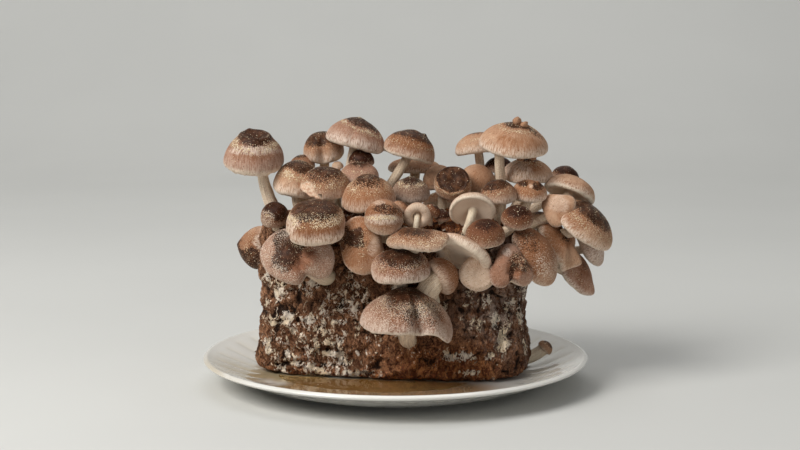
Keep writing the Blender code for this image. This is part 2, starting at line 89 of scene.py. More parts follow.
def drift(points: Numbers, size: float, seed: float = 0.0) -> Numbers:
    """Smooth noise over space.

    Args:
        points: Points in millimetres, in the last axis.
        size: Width of one swelling in millimetres.
        seed: Picks another pattern.

    Returns:
        Values from -1 to 1, one for each point.
    """
    cell = points / size + 7.31 * seed
    base = np.floor(cell)
    part = cell - base
    ease = part * part * (3 - 2 * part)
    total = np.zeros(points.shape[:-1])
    for corner in itertools.product((0, 1), repeat=3):
        key = base + corner
        value = np.sin(key @ np.array(HASH_STEPS)) * HASH_SPREAD
        share = np.where(corner, ease, 1 - ease).prod(-1)
        total += share * (value - np.floor(value))
    return 2 * total - 1


def rough(points: Numbers, size: float, seed: float, octaves: int = 3) -> Numbers:
    """Noise with finer noise on it.

    Args:
        points: Points in millimetres, in the last axis.
        size: Width of the largest swelling.
        seed: Picks another pattern.
        octaves: How many times the noise is added again at half the size.

    Returns:
        Values of about -1 to 1.
    """
    layers = (drift(points, size / 2 ** i, seed + 3.7 * i) / 2 ** i for i in range(octaves))
    return sum(layers) / 1.5


def ramp(values: Numbers, low: float, high: float) -> Numbers:
    """Ease from 0 at low to 1 at high.

    Args:
        values: The values to map.
        low: Where the result is 0.
        high: Where the result is 1; may be below low.

    Returns:
        Values from 0 to 1.
    """
    share = np.clip((values - low) / (high - low), 0, 1)
    return share * share * (3 - 2 * share)


def hill(apart: Numbers, width: float) -> Numbers:
    """A bell that is 1 in its middle.

    Args:
        apart: Distances from the middle.
        width: Where the bell has fallen to a third.

    Returns:
        Values from 0 to 1.
    """
    return np.exp(-(apart / width) ** 2)


def stand(name: str, data: bpy.types.ID) -> Piece:
    """Put an object into the scene.

    Args:
        name: Its name.
        data: Its mesh, lamp or camera.

    Returns:
        The object.
    """
    thing = bpy.data.objects.new(name, data)
    bpy.context.scene.collection.objects.link(thing)
    return thing


def write_points(mesh: bpy.types.Mesh, points: Numbers) -> None:
    """Move a mesh's vertices.

    Args:
        mesh: The mesh to shape.
        points: New places in millimetres from the plate's centre, one for each vertex.
    """
    mesh.vertices.foreach_set("co", ((points + PLATE_CENTRE) * MM).astype(np.float32).ravel())
    mesh.update()


def paint(mesh: bpy.types.Mesh, **layers: Numbers) -> None:
    """Store masks on a mesh's vertices for its finish to read.

    Args:
        mesh: The mesh that carries them.
        layers: Each mask by name, one number or one vector for each vertex.
    """
    for name, values in layers.items():
        kind = "FLOAT_VECTOR" if values.ndim == 2 else "FLOAT"
        layer = mesh.attributes.new(name, kind, "POINT")
        layer.data.foreach_set("vector" if values.ndim == 2 else "value",
                               values.astype(np.float32).ravel())


def blank(name: str, columns: int, rows: int) -> tuple[Piece, Numbers, Numbers]:
    """Add a ball as the blank of a piece that closes at two poles.

    Args:
        name: The piece's name.
        columns: Faces around it.
        rows: Faces from pole to pole.

    Returns:
        The object, and each vertex's row, counted from the top, and column.
    """
    stock_name = f"ball_{columns}_{rows}"
    stock = bpy.data.meshes.get(stock_name)
    if not stock:
        bpy.ops.mesh.primitive_uv_sphere_add(segments=columns, ring_count=rows, radius=1.0)
        stock = bpy.context.object.data
        stock.name = stock_name
        bpy.data.objects.remove(bpy.context.object)
    piece = stand(name, stock.copy())
    piece.data.name = name
    points = read_points(piece.data)
    row = np.rint(np.arccos(np.clip(points[:, 2], -1, 1)) / math.pi * rows).astype(int)
    column = np.rint(np.arctan2(points[:, 1], points[:, 0]) / TURN * columns).astype(int)
    return piece, row, column % columns


def crate(name: str, cells_along: tuple[int, int, int]) -> Piece:
    """Add a cube of six grids as the blank of a box-shaped piece.

    Args:
        name: The piece's name.
        cells_along: Faces along X, Y and Z.

    Returns:
        The cube, two wide, as one closed mesh.
    """
    wide, deep, high = cells_along
    quarter = math.pi / 2
    sides = (((0, 0, 1), (0, 0, 0), wide, deep), ((0, 0, -1), (2 * quarter, 0, 0), wide, deep),
             ((0, -1, 0), (quarter, 0, 0), wide, high), ((0, 1, 0), (-quarter, 0, 0), wide, high),
             ((1, 0, 0), (0, quarter, 0), high, deep), ((-1, 0, 0), (0, -quarter, 0), high, deep))
    panels = []
    for place, turn, across, up in sides:
        bpy.ops.mesh.primitive_grid_add(x_subdivisions=across, y_subdivisions=up, size=2,
                                        location=place, rotation=turn)
        panels.append(bpy.context.object)
    piece = panels[0]
    merge(piece, panels[1:])
    bpy.ops.object.transform_apply(location=True, rotation=True, scale=True)
    bpy.ops.object.mode_set(mode="EDIT")
    bpy.ops.mesh.select_all(action="SELECT")
    bpy.ops.mesh.remove_doubles(threshold=1e-4)
    bpy.ops.object.mode_set(mode="OBJECT")
    piece.name = name
    piece.data.name = name
    return piece


def read_points(mesh: bpy.types.Mesh, what: str = "co") -> Numbers:
    """Read a mesh's vertices.

    Args:
        mesh: The mesh.
        what: Their places or normals.

    Returns:
        One vector for each vertex, as the mesh has it.
    """
    values = np.empty(len(mesh.vertices) * 3, np.float32)
    mesh.vertices.foreach_get(what, values)
    return values.reshape(-1, 3).astype(float)


def settle(piece: Piece, finish: "Finish", stands_for: str) -> None:
    """Finish a piece: smooth it, dress it and tie it to the frame.

    Args:
        piece: The shaped piece.
        finish: The finish that it wears.
        stands_for: The solid of the frame that it replaces.
    """
    piece.data.shade_smooth()
    piece.data.materials.clear()
    piece.data.materials.append(finish.material())
    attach(piece, ROOT)
    if stands_for:
        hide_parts(stands_for)


# --- Finishes --------------------------------------------------------------------------------

class Sketch:
    """Draws a node tree with few words."""

    def __init__(self, tree: bpy.types.NodeTree) -> None:
        """Start on a tree.

        Args:
            tree: The material's or group's own nodes.
        """
        self.tree = tree

    def add(self, kind: str, inputs: dict | None = None, **settings: object) -> bpy.types.Node:
        """Add a node.

        Args:
            kind: Its type name, without the leading ShaderNode.
            inputs: Numbers, colours or outgoing sockets by input name or number.
            settings: The node's own settings.

        Returns:
            The node.
        """
        node = self.tree.nodes.new("ShaderNode" + kind)
        for name, value in settings.items():
            setattr(node, name, value)
        self.fill(node, inputs or {})
        return node

    def fill(self, node: bpy.types.Node, inputs: dict) -> None:
        """Set or link several inputs.

        Args:
            node: The node.
            inputs: Numbers, colours or outgoing sockets by input name or number.
        """
        for name, value in inputs.items():
            self.feed(node.inputs[name], value)

    def feed(self, socket: Socket, value: object) -> None:
        """Set an input or link it.

        Args:
            socket: The input.
            value: A number, a colour, or the output to link.
        """
        if isinstance(value, Socket):
            self.tree.links.new(value, socket)
        elif isinstance(value, tuple) and socket.type == "RGBA":
            socket.default_value = (*value, 1.0)
        else:
            socket.default_value = value

    def mask(self, name: str) -> Socket:
        """Read a mask that the mesh carries.

        Args:
            name: The mask's name.

        Returns:
            Its value.
        """
        return self.add("Attribute", attribute_name=name).outputs["Fac"]

    def math(self, operation: str, *values: object) -> Socket:
        """Work out a number.

        Args:
            operation: A Math node's operation.
            values: Its inputs.

        Returns:
            The result.
        """
        return self.add("Math", dict(enumerate(values)), operation=operation).outputs[0]

    def times(self, value: object, factor: object) -> Socket:
        """Multiply two numbers.

        Args:
            value: One of them.
            factor: The other one.

        Returns:
            The product.
        """
        return self.math("MULTIPLY", value, factor)

    def weigh(self, base: object, *terms: tuple[object, object]) -> Socket:
        """Add values to a base.

        Args:
            base: What they are added to.
            terms: Each value with its weight.

        Returns:
            The sum.
        """
        for value, weight in terms:
            base = self.math("MULTIPLY_ADD", value, weight, base)
        return base

    def blend(self, share: object, under: object, over: object) -> Socket:
        """Mix two colours.

        Args:
            share: How much of the upper colour shows.
            under: The lower colour.
            over: The upper colour.

        Returns:
            The mixed colour.
        """
        inputs = {0: share, 6: under, 7: over}
        return self.add("Mix", inputs, data_type="RGBA").outputs[2]

    def step(self, value: object, low: object, high: object) -> Socket:
        """Ease from 0 at low to 1 at high.

        Args:
            value: The number to map.
            low: Where the result is 0.
            high: Where the result is 1.

        Returns:
            The result.
        """
        inputs = {"Value": value, "From Min": low, "From Max": high}
        return self.add("MapRange", inputs, interpolation_type="SMOOTHSTEP").outputs["Result"]

    def grain(self, scale: float, detail: float = 2.0, harsh: float = 0.5,
              place: Socket | None = None) -> Socket:
        """Noise over the piece.

        Args:
            scale: Swellings per metre.
            detail: How many finer layers it has.
            harsh: How strong they are.
            place: Where it is read; the piece's own space when left out.

        Returns:
            Values of about 0.3 to 0.7.
        """
        return self.add("TexNoise", {"Vector": place or self.place(), "Scale": scale,
                                     "Detail": detail, "Roughness": harsh}).outputs["Fac"]

    def chips(self, scale: float, place: Socket) -> Socket:
        """A chance value for each of many angular cells.

        Args:
            scale: Cells per metre.
            place: Where they are read.

        Returns:
            Values from 0 to 1, the same all over one cell.
        """
        return self.add("TexVoronoi", {"Vector": place, "Scale": scale}).outputs["Color"]

    def stirred(self, scale: float, reach: float) -> Socket:
        """The point in the piece's own space, moved about a little.

        Args:
            scale: Swirls per metre.
            reach: How far points are moved, in metres.

        Returns:
            The moved point.
        """
        swirl = self.add("TexNoise", {"Vector": self.place(), "Scale": scale, "Detail": 2.0})
        inputs = {0: swirl.outputs["Color"], 1: (reach,) * 3, 2: self.place()}
        return self.add("VectorMath", inputs, operation="MULTIPLY_ADD").outputs[0]

    def place(self) -> Socket:
        """The point in the piece's own space.

        Returns:
            Its three distances, in metres.
        """
        return self.add("TexCoord").outputs["Object"]


@dataclass(frozen=True)
class Finish:
    """A surface finish that is made into a material once."""

    name: str

    def material(self) -> bpy.types.Material:
        """The finish's material.

        Returns:
            The material, made at the first call.
        """
        made = bpy.data.materials.get(self.name)
        if made:
            return made
        made = bpy.data.materials.new(self.name)
        made.use_nodes = True
        self.draw(Sketch(made.node_tree), made.node_tree.nodes["Principled BSDF"])
        return made

    def draw(self, sketch: Sketch, shader: bpy.types.Node) -> None:
        """Draw the nodes that feed the shader; each finish has its own way.

        Args:
            sketch: Draws in the material.
            shader: The material's shader.
        """
        raise NotImplementedError


def bumped(sketch: Sketch, shader: bpy.types.Node, height: Socket,
           depth: float) -> None:
    """Let a height stand out of the surface.

    Args:
        sketch: Draws in the material.
        shader: The shader whose normal it bends.
        height: From 0 to 1.
        depth: How high 1 stands, in millimetres.
    """
    bump = sketch.add("Bump", {"Height": height, "Distance": depth * MM, "Strength": 1.0})
    sketch.feed(shader.inputs["Normal"], bump.outputs["Normal"])


def flesh_group() -> bpy.types.NodeTree:
    """The group that colours any mushroom from the masks on its mesh.

    Returns:
        A group with the colours of one kind of mushroom as inputs, and colour, roughness and
        height as outputs.
    """
    made = bpy.data.node_groups.get("mushroom_flesh")
    if made:
        return made
    tree = bpy.data.node_groups.new("mushroom_flesh", "ShaderNodeTree")
    for name in ("Cap", "Blush", "Dark", "Pale", "Stem"):
        tree.interface.new_socket(name, in_out="INPUT", socket_type="NodeSocketColor")
    tree.interface.new_socket("Colour", in_out="OUTPUT", socket_type="NodeSocketColor")
    for name in ("Roughness", "Height"):
        tree.interface.new_socket(name, in_out="OUTPUT", socket_type="NodeSocketFloat")
    sketch = Sketch(tree)
    given = tree.nodes.new("NodeGroupInput").outputs
    result = tree.nodes.new("NodeGroupOutput")

    fibres_at = sketch.add("Attribute", attribute_name="grain").outputs["Vector"]
    fibres = sketch.grain(21.0, 4.0, 0.62, fibres_at)
    mottle = sketch.grain(230.0, 4.0, 0.6)
    speck = sketch.grain(1350.0, 1.5, 0.55)
    fine = sketch.grain(1600.0, 1.5, 0.55)
    coarse = sketch.grain(640.0, 2.5, 0.65)

    uneven = sketch.step(mottle, 0.36, 0.66)
    colour = sketch.blend(sketch.times(uneven, 0.3), given["Cap"], given["Blush"])
    blush = sketch.times(sketch.mask("blush"), sketch.step(fibres, 0.2, 0.6))
    colour = sketch.blend(blush, colour, given["Blush"])
    pale = sketch.times(sketch.mask("pale"), sketch.step(fibres, 0.72, 0.34))
    colour = sketch.blend(pale, colour, given["Pale"])
    streaks = sketch.times(sketch.step(fibres, 0.46, 0.7), 0.4)
    colour = sketch.blend(streaks, colour, given["Blush"])

    ragged = sketch.math("ADD", sketch.weigh(coarse, (speck, -2.4)), 0.70)
    dark = sketch.step(sketch.math("ADD", sketch.mask("dark"), ragged), 0.32, 0.62)
    dark_colour = sketch.blend(sketch.step(mottle, 0.42, 0.66), given["Dark"],
                               sketch.blend(0.28, given["Dark"], given["Blush"]))
    colour = sketch.blend(sketch.times(dark, 0.97), colour, dark_colour)

    fleck_from = sketch.weigh(0.73, (sketch.mask("flecks"), -0.27))
    flecks = sketch.step(speck, fleck_from, sketch.math("ADD", fleck_from, 0.06))
    frost_from = sketch.weigh(0.74, (sketch.mask("frost"), -0.27))
    frost = sketch.step(fine, frost_from, sketch.math("ADD", frost_from, 0.1))
    white = sketch.blend(0.5, given["Pale"], (0.80, 0.70, 0.56))
    colour = sketch.blend(sketch.times(frost, 0.74), colour, white)
    patchy = sketch.step(coarse, 0.4, 0.6)
    gold = sketch.blend(patchy, (0.66, 0.48, 0.27), (0.84, 0.74, 0.55))
    colour = sketch.blend(sketch.times(flecks, 0.85), colour, gold)
    colour = sketch.blend(sketch.mask("tuft"), colour, (0.80, 0.67, 0.46))
    rim = sketch.times(sketch.mask("rim"), sketch.step(coarse, 0.3, 0.5))
    colour = sketch.blend(rim, colour, (0.80, 0.68, 0.54))

    stem_streak = sketch.grain(10.0, 5.0, 0.7, fibres_at)
    stem_colour = sketch.blend(sketch.step(stem_streak, 0.42, 0.62), given["Stem"],
                               sketch.blend(0.55, given["Stem"], given["Blush"]))
    dusted = sketch.times(sketch.step(speck, 0.52, 0.62), 0.6)
    stem_colour = sketch.blend(dusted, stem_colour, (0.88, 0.79, 0.64))
    # Painted shade: the colour between the gills is darker, for the shade in the gaps between them.
    gill_colour_with_gap_shade = sketch.blend(sketch.mask("between"), (0.87, 0.71, 0.56), (0.60, 0.43, 0.31))
    torn_colour = sketch.blend(patchy, (0.62, 0.36, 0.24), (0.80, 0.62, 0.46))
    for name, shown in (("stem", stem_colour), ("gills", gill_colour_with_gap_shade), ("torn", torn_colour),
                        ("collar", (0.76, 0.67, 0.50))):
        colour = sketch.blend(sketch.mask(name), colour, shown)

    crumples = sketch.times(sketch.grain(330.0, 3.0, 0.6), 2.0)
    height = sketch.weigh(sketch.times(coarse, 0.35), (fibres, 0.35), (flecks, 0.4), (frost, 0.22),
                          (sketch.mask("wrinkle"), crumples))
    sketch.fill(result, {"Colour": colour, "Roughness": sketch.weigh(0.78, (dark, -0.40)),
                         "Height": height})
    return tree


@dataclass(frozen=True)
class MushroomFinish(Finish):
    """The skin, gills and stem of one kind of colouring."""

    cap: Triple
    blush: Triple
    dark: Triple
    pale: Triple
    stem: Triple

    def draw(self, sketch: Sketch, shader: bpy.types.Node) -> None:
        """Feed the shader from the shared group."""
        flesh = sketch.add("Group")
        flesh.node_tree = flesh_group()
        sketch.fill(flesh, {"Cap": self.cap, "Blush": self.blush, "Dark": self.dark,
                            "Pale": self.pale, "Stem": self.stem})
        sketch.fill(shader, {"Base Color": flesh.outputs["Colour"], "Specular IOR Level": 0.1,
                             "Roughness": flesh.outputs["Roughness"]})
        bumped(sketch, shader, flesh.outputs["Height"], 0.6)


class Tone(Enum):
    """The colourings that the mushrooms come in."""

    PINK = MushroomFinish("pink_grey_skin", (0.42, 0.255, 0.18), (0.22, 0.09, 0.045),
                          (0.030, 0.0105, 0.0045), (0.72, 0.585, 0.49), (0.80, 0.65, 0.49))
    TAN = MushroomFinish("tan_skin", (0.41, 0.235, 0.145), (0.23, 0.092, 0.040),
                         (0.030, 0.0105, 0.0045), (0.72, 0.57, 0.455), (0.78, 0.62, 0.45))
    LIGHT = MushroomFinish("light_tan_skin", (0.52, 0.325, 0.21), (0.30, 0.13, 0.060),
                           (0.032, 0.0115, 0.005), (0.76, 0.61, 0.49), (0.78, 0.62, 0.45))
    ORANGE = MushroomFinish("orange_tan_skin", (0.42, 0.225, 0.125), (0.26, 0.092, 0.034),
                            (0.034, 0.012, 0.005), (0.72, 0.545, 0.415), (0.76, 0.59, 0.42))
    BROWN = MushroomFinish("red_brown_skin", (0.22, 0.10, 0.052), (0.12, 0.040, 0.018),
                           (0.026, 0.008, 0.0035), (0.60, 0.43, 0.32), (0.70, 0.54, 0.39))
    GREY = MushroomFinish("grey_brown_skin", (0.32, 0.21, 0.148), (0.15, 0.068, 0.038),
                          (0.028, 0.011, 0.006), (0.66, 0.54, 0.455), (0.74, 0.61, 0.47))
    CREAM = MushroomFinish("cream_skin", (0.56, 0.40, 0.285), (0.38, 0.205, 0.115),
                           (0.09, 0.042, 0.022), (0.78, 0.66, 0.54), (0.84, 0.73, 0.55))


@dataclass(frozen=True)
class CrustFinish(Finish):
    """Grown-through sawdust with a brown crust and mycelium on it."""

    # deep: painted shade for the cracks and pits.
    deep: Triple = (0.010, 0.004, 0.002)
    brown: Triple = (0.074, 0.026, 0.011)
    # light: partly the sawdust's own light brown, partly painted highlight on raised crumbs.
    light: Triple = (0.50, 0.25, 0.132)
    wet: Triple = (0.12, 0.030, 0.009)
    # glint: painted highlight colour on the wet crust.
    glint: Triple = (0.50, 0.20, 0.070)
    ashen: Triple = (0.44, 0.33, 0.27)
    white: Triple = (0.98, 0.87, 0.74)
    cream: Triple = (0.95, 0.78, 0.56)

    def draw(self, sketch: Sketch, shader: bpy.types.Node) -> None:
        """Colour by the height of the lumps, with painted shade in the cracks and pits and painted
        highlights on the raised crumbs, then lay the mycelium over them.
        """
        stirred = sketch.stirred(240.0, 0.006)
        blotch = sketch.grain(75.0, 4.0, 0.6)
        upright = sketch.add("Mapping", {"Vector": stirred, "Rotation": (0.0, 0.35, 0.0),
                                         "Scale": (1.25, 1.0, 0.55)}).outputs[0]
        crumb = sketch.grain(420.0, 4.0, 0.7, upright)
        dust = sketch.grain(1200.0, 2.0, 0.6, upright)
        chip, sliver = sketch.chips(300.0, upright), sketch.chips(820.0, upright)
        flat = sketch.add("Mapping", {"Vector": stirred, "Scale": (1.0, 1.0, 0.32)})
        folds = sketch.grain(340.0, 3.0, 0.65, flat.outputs[0])
        crossing = sketch.math("SUBTRACT", sketch.grain(210.0, 3.0, 0.55, stirred), 0.5)
        vein = sketch.step(sketch.math("ABSOLUTE", crossing), 0.055, 0.0)
        # Lighter brown where the crumbs, chips and veins stand highest in the bump: partly the sawdust's
        # own tone, partly painted highlight on the raised crumbs.
        tone = sketch.weigh(sketch.times(crumb, 0.45), (chip, 0.16), (sliver, 0.14), (dust, 0.42),
                            (vein, 0.12))
        colour = sketch.blend(sketch.step(tone, 0.51, 0.69), self.brown, self.light)
        clouded = sketch.times(sketch.step(blotch, 0.42, 0.62), 0.6)
        colour = sketch.blend(clouded, colour, self.brown)
        # Grey-brown crust on the right. It is pale on the fold crests and brown in the fold valleys: partly
        # its own colour, partly painted highlight and shade on the folds.
        ash = sketch.blend(sketch.step(folds, 0.42, 0.62), self.brown, self.ashen)
        colour = sketch.blend(sketch.mask("ashen"), colour, ash)
        # The wet crust is dark red-brown. Its orange glint colour on the higher crumbs is a painted
        # highlight.
        wet_with_painted_glint = sketch.blend(sketch.step(tone, 0.55, 0.72), self.wet, self.glint)
        colour = sketch.blend(sketch.mask("wet"), colour, wet_with_painted_glint)
        # Painted shade: the pits, and the cracks and low places of the relief, are darkened to near black.
        pitted = sketch.weigh(sketch.times(crumb, 0.65), (dust, 0.5))
        hollow = sketch.step(sketch.math("ADD", pitted, sketch.mask("relief")), 1.12, 0.74)
        colour = sketch.blend(sketch.times(hollow, 0.92), colour, self.deep)
        ragged = sketch.weigh(sketch.mask("mycelium"), *(
            (sketch.math("SUBTRACT", value, 0.5), weight)
            for value, weight in ((chip, 0.6), (sliver, 0.45), (crumb, 1.1))))
        fluff = sketch.step(ragged, 0.48, 0.52)
        shade = sketch.blend(sketch.step(blotch, 0.4, 0.6), self.white, self.cream)
        shade = sketch.blend(sketch.step(dust, 0.45, 0.7), shade,
                             sketch.blend(0.18, shade, self.light))
        sheen = sketch.times(sketch.mask("wet"), sketch.step(crumb, 0.3, 0.6))
        sketch.fill(shader, {"Base Color": sketch.blend(sketch.times(fluff, 0.94), colour, shade),
                             "Roughness": sketch.weigh(0.82, (sheen, -0.45)),
                             "Specular IOR Level": 0.16})
        height = sketch.weigh(sketch.times(dust, 0.4), (crumb, 0.9), (chip, 0.25), (vein, 0.5),
                              (folds, sketch.mask("ashen")), (fluff, 0.2), (sliver, 0.16))
        bumped(sketch, shader, height, 2.4)


@dataclass(frozen=True)
class CrumbFinish(Finish):
    """Loose flakes of the crust."""

    dark: Triple = (0.045, 0.017, 0.008)
    light: Triple = (0.25, 0.12, 0.06)

    def draw(self, sketch: Sketch, shader: bpy.types.Node) -> None:
        """Give each flake its own brown."""
        tint = sketch.mask("tint")
        colour = sketch.blend(tint, self.dark, self.light)
        colour = sketch.blend(sketch.step(tint, 0.93, 0.97), colour, (0.74, 0.62, 0.47))
        sketch.fill(shader, {"Base Color": colour, "Specular IOR Level": 0.2,
                             "Roughness": sketch.weigh(0.65, (tint, 0.2))})
        bumped(sketch, shader, sketch.grain(1500.0, 3.0, 0.6), 0.3)


@dataclass(frozen=True)
class GlazeFinish(Finish):
    """Clear white glaze."""

    white: Triple = (0.75, 0.735, 0.69)
    pooled: Triple = (0.62, 0.56, 0.45)
    stained: Triple = (0.46, 0.365, 0.22)
    steeped: Triple = (0.29, 0.165, 0.062)

    def draw(self, sketch: Sketch, shader: bpy.types.Node) -> None:
        """White with a little depth in the relief, and a dried tea-coloured stain."""
        cloud = sketch.grain(28.0, 3.0, 0.5)
        colour = sketch.blend(sketch.times(sketch.step(cloud, 0.4, 0.65), 0.12),
                              self.white, self.pooled)
        colour = sketch.blend(sketch.mask("groove"), colour, self.pooled)
        stain = sketch.times(sketch.mask("stain"), sketch.step(cloud, 0.3, 0.5))
        colour = sketch.blend(stain, colour, self.stained)
        colour = sketch.blend(sketch.mask("steeped"), colour, self.steeped)
        speck = sketch.step(sketch.grain(900.0, 2.0, 0.5), 0.3, 0.75)
        sketch.fill(shader, {"Base Color": colour, "Roughness": sketch.weigh(0.14, (speck, 0.08)),
                             "Coat Weight": 0.6, "Coat Roughness": 0.06})
        bumped(sketch, shader, sketch.grain(60.0, 2.0, 0.4), 0.12)


@dataclass(frozen=True)
class WaterFinish(Finish):
    """Tea-coloured water."""

    tint: Triple = (0.88, 0.72, 0.46)

    def draw(self, sketch: Sketch, shader: bpy.types.Node) -> None:
        """Clear, with a skin that is barely uneven."""
        sketch.fill(shader, {"Base Color": self.tint, "Transmission Weight": 1.0, "IOR": 1.333,
                             "Roughness": 0.02})
        bumped(sketch, shader, sketch.grain(50.0, 2.0, 0.4), 0.1)


@dataclass(frozen=True)
class StudioFinish(Finish):
    """A plain matt surface of the studio."""

    colour: Triple

    def draw(self, sketch: Sketch, shader: bpy.types.Node) -> None:
        """One pale colour with a trace of unevenness."""
        cloud = sketch.step(sketch.grain(3.0, 2.0, 0.5), 0.3, 0.7)
        darker = tuple(0.97 * value for value in self.colour)
        sketch.fill(shader, {"Base Color": sketch.blend(cloud, self.colour, darker),
                             "Roughness": 0.8})


CRUST = CrustFinish("sawdust_crust")
CRUMBS = CrumbFinish("sawdust_crumbs")
GLAZE = GlazeFinish("white_glaze")
WATER = WaterFinish("amber_water")
BACKDROP = StudioFinish("studio_backdrop", (0.62, 0.62, 0.595))


# --- The block -------------------------------------------------------------------------------

@dataclass(frozen=True)
class SawdustBlock:
    """The growing block: sawdust that was pressed in a bag and grown through."""

    centre: tuple[float, float] = (-1.0, 17.0)
    turn: float = -9.0
    half_length: float = 98.0
    half_depth: float = 50.0
    base: float = 6.85
    top: float = 120.0
    plan_power: float = 4.5
    top_power: float = 9.0
    base_power: float = 16.0
    taper: float = 0.035
    lump: float = 1.6
    root_depth: float = 0.95  # where stems are rooted, 1 on the skin
    root_web: float = 7.0  # reach of the mycelium around a root
    grid: tuple[int, int, int] = (184, 94, 108)
    crumbs: int = 5200
    # Mycelium on the front: place along and up, size along and up, strength
    patches: tuple = (
        ((-85, 65), (3.5, 5), 1.0), ((-86, 72), (3, 7), 0.5), ((-93, 58), (3.5, 5), 0.7),
        ((-91, 75), (2, 6), 0.7), ((-68, 69), (5, 6), 0.5), ((-78, 50), (5, 4), 0.95),
        ((-88, 45), (4, 3), 0.8), ((-74, 42), (5, 6), 0.6), ((-61, 49), (7, 4), 0.62),
        ((-51, 47), (2.5, 5), 0.85), ((-53, 42), (6, 2), 0.9), ((-56, 33), (2.2, 8), 0.72),
        ((-47, 24.5), (9, 2.2), 0.95), ((-80, 33), (5, 6), 0.62), ((-71, 30), (3, 4), 0.6),
        ((-78, 22), (2.4, 5), 0.7), ((-73, 20), (2, 4), 0.75), ((-92, 25), (2.4, 5), 0.8),
        ((-89, 30), (4, 4), 0.5), ((-70, 16), (9, 2.2), 0.7), ((-61, 15), (6, 4), 0.72),
        ((-53, 11), (4, 2.4), 0.7), ((-39, 48), (6, 2.6), 0.82), ((-37, 41), (4, 4.5), 0.66),
        ((-39, 35.5), (2.6, 2.8), 1.0), ((-27, 40), (2.2, 1.6), 0.9), ((-21.5, 66), (2.6, 7), 0.62),
        ((-27, 59), (3, 4), 0.52), ((-37, 19), (4, 4), 0.68), ((-25, 27), (5, 4), 0.52),
        ((-27, 12), (11, 2.4), 0.72), ((-57, 75), (6, 3), 0.75), ((-47, 33), (4, 3), 0.5),
        ((-32, 84), (4, 5), 0.5),
        ((47, 26.5), (9, 3), 0.85), ((54, 15), (4, 2), 0.7), ((58, 49), (4, 7), 0.62),
        ((76, 37), (4, 9), 0.75), ((70, 51), (3, 7), 0.66), ((89, 51), (2.5, 9), 0.66),
        ((93, 31), (2.5, 8), 0.6), ((91, 66), (2.5, 6), 0.55), ((34, 60), (2.5, 8), 0.5),
        ((80, 62), (4, 8), 0.45), ((66, 26), (3, 3), 0.66), ((63, 67), (5, 4), 0.5),
    )

    def axes(self) -> tuple[Numbers, Numbers]:
        """The block's directions in plan.

        Returns:
            Unit vectors along its length and to its back.
        """
        turn = math.radians(self.turn)
        return (np.array((math.cos(turn), math.sin(turn))),
                np.array((-math.sin(turn), math.cos(turn))))

    def skin(self, cube: Numbers) -> Numbers:
        """Put the cube's points on the even form with its coarse lumps.

        Args:
            cube: Points on a cube that reaches from -1 to 1.

        Returns:
            The same points on the block.
        """
        x, y, z = cube.T
        power = np.where(z > 0, self.top_power, self.base_power)
        plan = (np.abs(x) ** self.plan_power + np.abs(y) ** self.plan_power) ** (
            1 / self.plan_power)
        size = (plan ** power + np.abs(z) ** power) ** (-1 / power)
        reach, level = size * plan, size * z
        narrow = size * (1 - self.taper * (level + 1) / 2)
        x, y = x * self.half_length * narrow, y * self.half_depth * narrow
        z = self.base + (self.top - self.base) / 2 * (1 + level)
        bulge = self.bulge(x, y, z)
        swell = 1 + bulge * reach / np.maximum(np.hypot(x, y), 1)
        along, back = self.axes()
        return np.stack([self.centre[0] + swell * (x * along[0] + y * back[0]),
                         self.centre[1] + swell * (x * along[1] + y * back[1]),
                         z + bulge * (1 - reach ** 4) * (level > 0)], 1)

    def bulge(self, x: Numbers, y: Numbers, z: Numbers) -> Numbers:
        """The coarse lumps.

        Args:
            x: Places along the block.
            y: Places to its back.
            z: Heights.

        Returns:
            How far the skin stands out, in millimetres.
        """
        coarse = np.sin(x / 15 + 1.3) * np.sin(z / 13 + 0.4) + np.sin(y / 14 + 2) * np.sin(z / 9)
        fine = np.sin(x / 7 + z / 8) * np.sin(y / 8 - z / 6 + 1)
        return self.lump * (0.7 * coarse + 0.5 * fine)

    def root(self, foot: Triple) -> tuple[Numbers, Numbers]:
        """Where a stem is rooted.

        Args:
            foot: A point near the place where it grows.

        Returns:
            The point just under the skin, and the way out of the block there.
        """
        along, back = self.axes()
        half = (self.top - self.base) / 2
        offset = np.array(foot[:2], float) - self.centre
        sizes = np.array((self.half_length, self.half_depth, half))
        shares = np.array((offset @ along, offset @ back, foot[2] - self.base - half)) / sizes
        shares *= self.root_depth / (np.abs(shares) ** self.plan_power).sum() ** (
            1 / self.plan_power)
        slope = np.sign(shares) * np.abs(shares) ** (self.plan_power - 1) / sizes
        place = shares * sizes
        plan = np.array(self.centre) + place[0] * along + place[1] * back
        out = np.array((*(slope[0] * along + slope[1] * back), slope[2]))
        return (np.array((*plan, self.base + half + place[2])), out / np.linalg.norm(out))

    def build(self, roots: list[Numbers]) -> Piece:
        """Model the block.

        Args:
            roots: Where stems leave it, for the mycelium around them.

        Returns:
            The finished piece.
        """
        piece = crate("growing_block", self.grid)
        even = self.skin(read_points(piece.data))
        write_points(piece.data, even)
        out = read_points(piece.data, "normal")
        lift, relief = self.crust(even)
        points = even + out * lift[:, None]
        points[:, 2] = np.maximum(points[:, 2], self.base)
        write_points(piece.data, points)
        paint(piece.data, **self.masks(even, relief, roots))
        settle(piece, CRUST, "sawdust_block")
        return piece

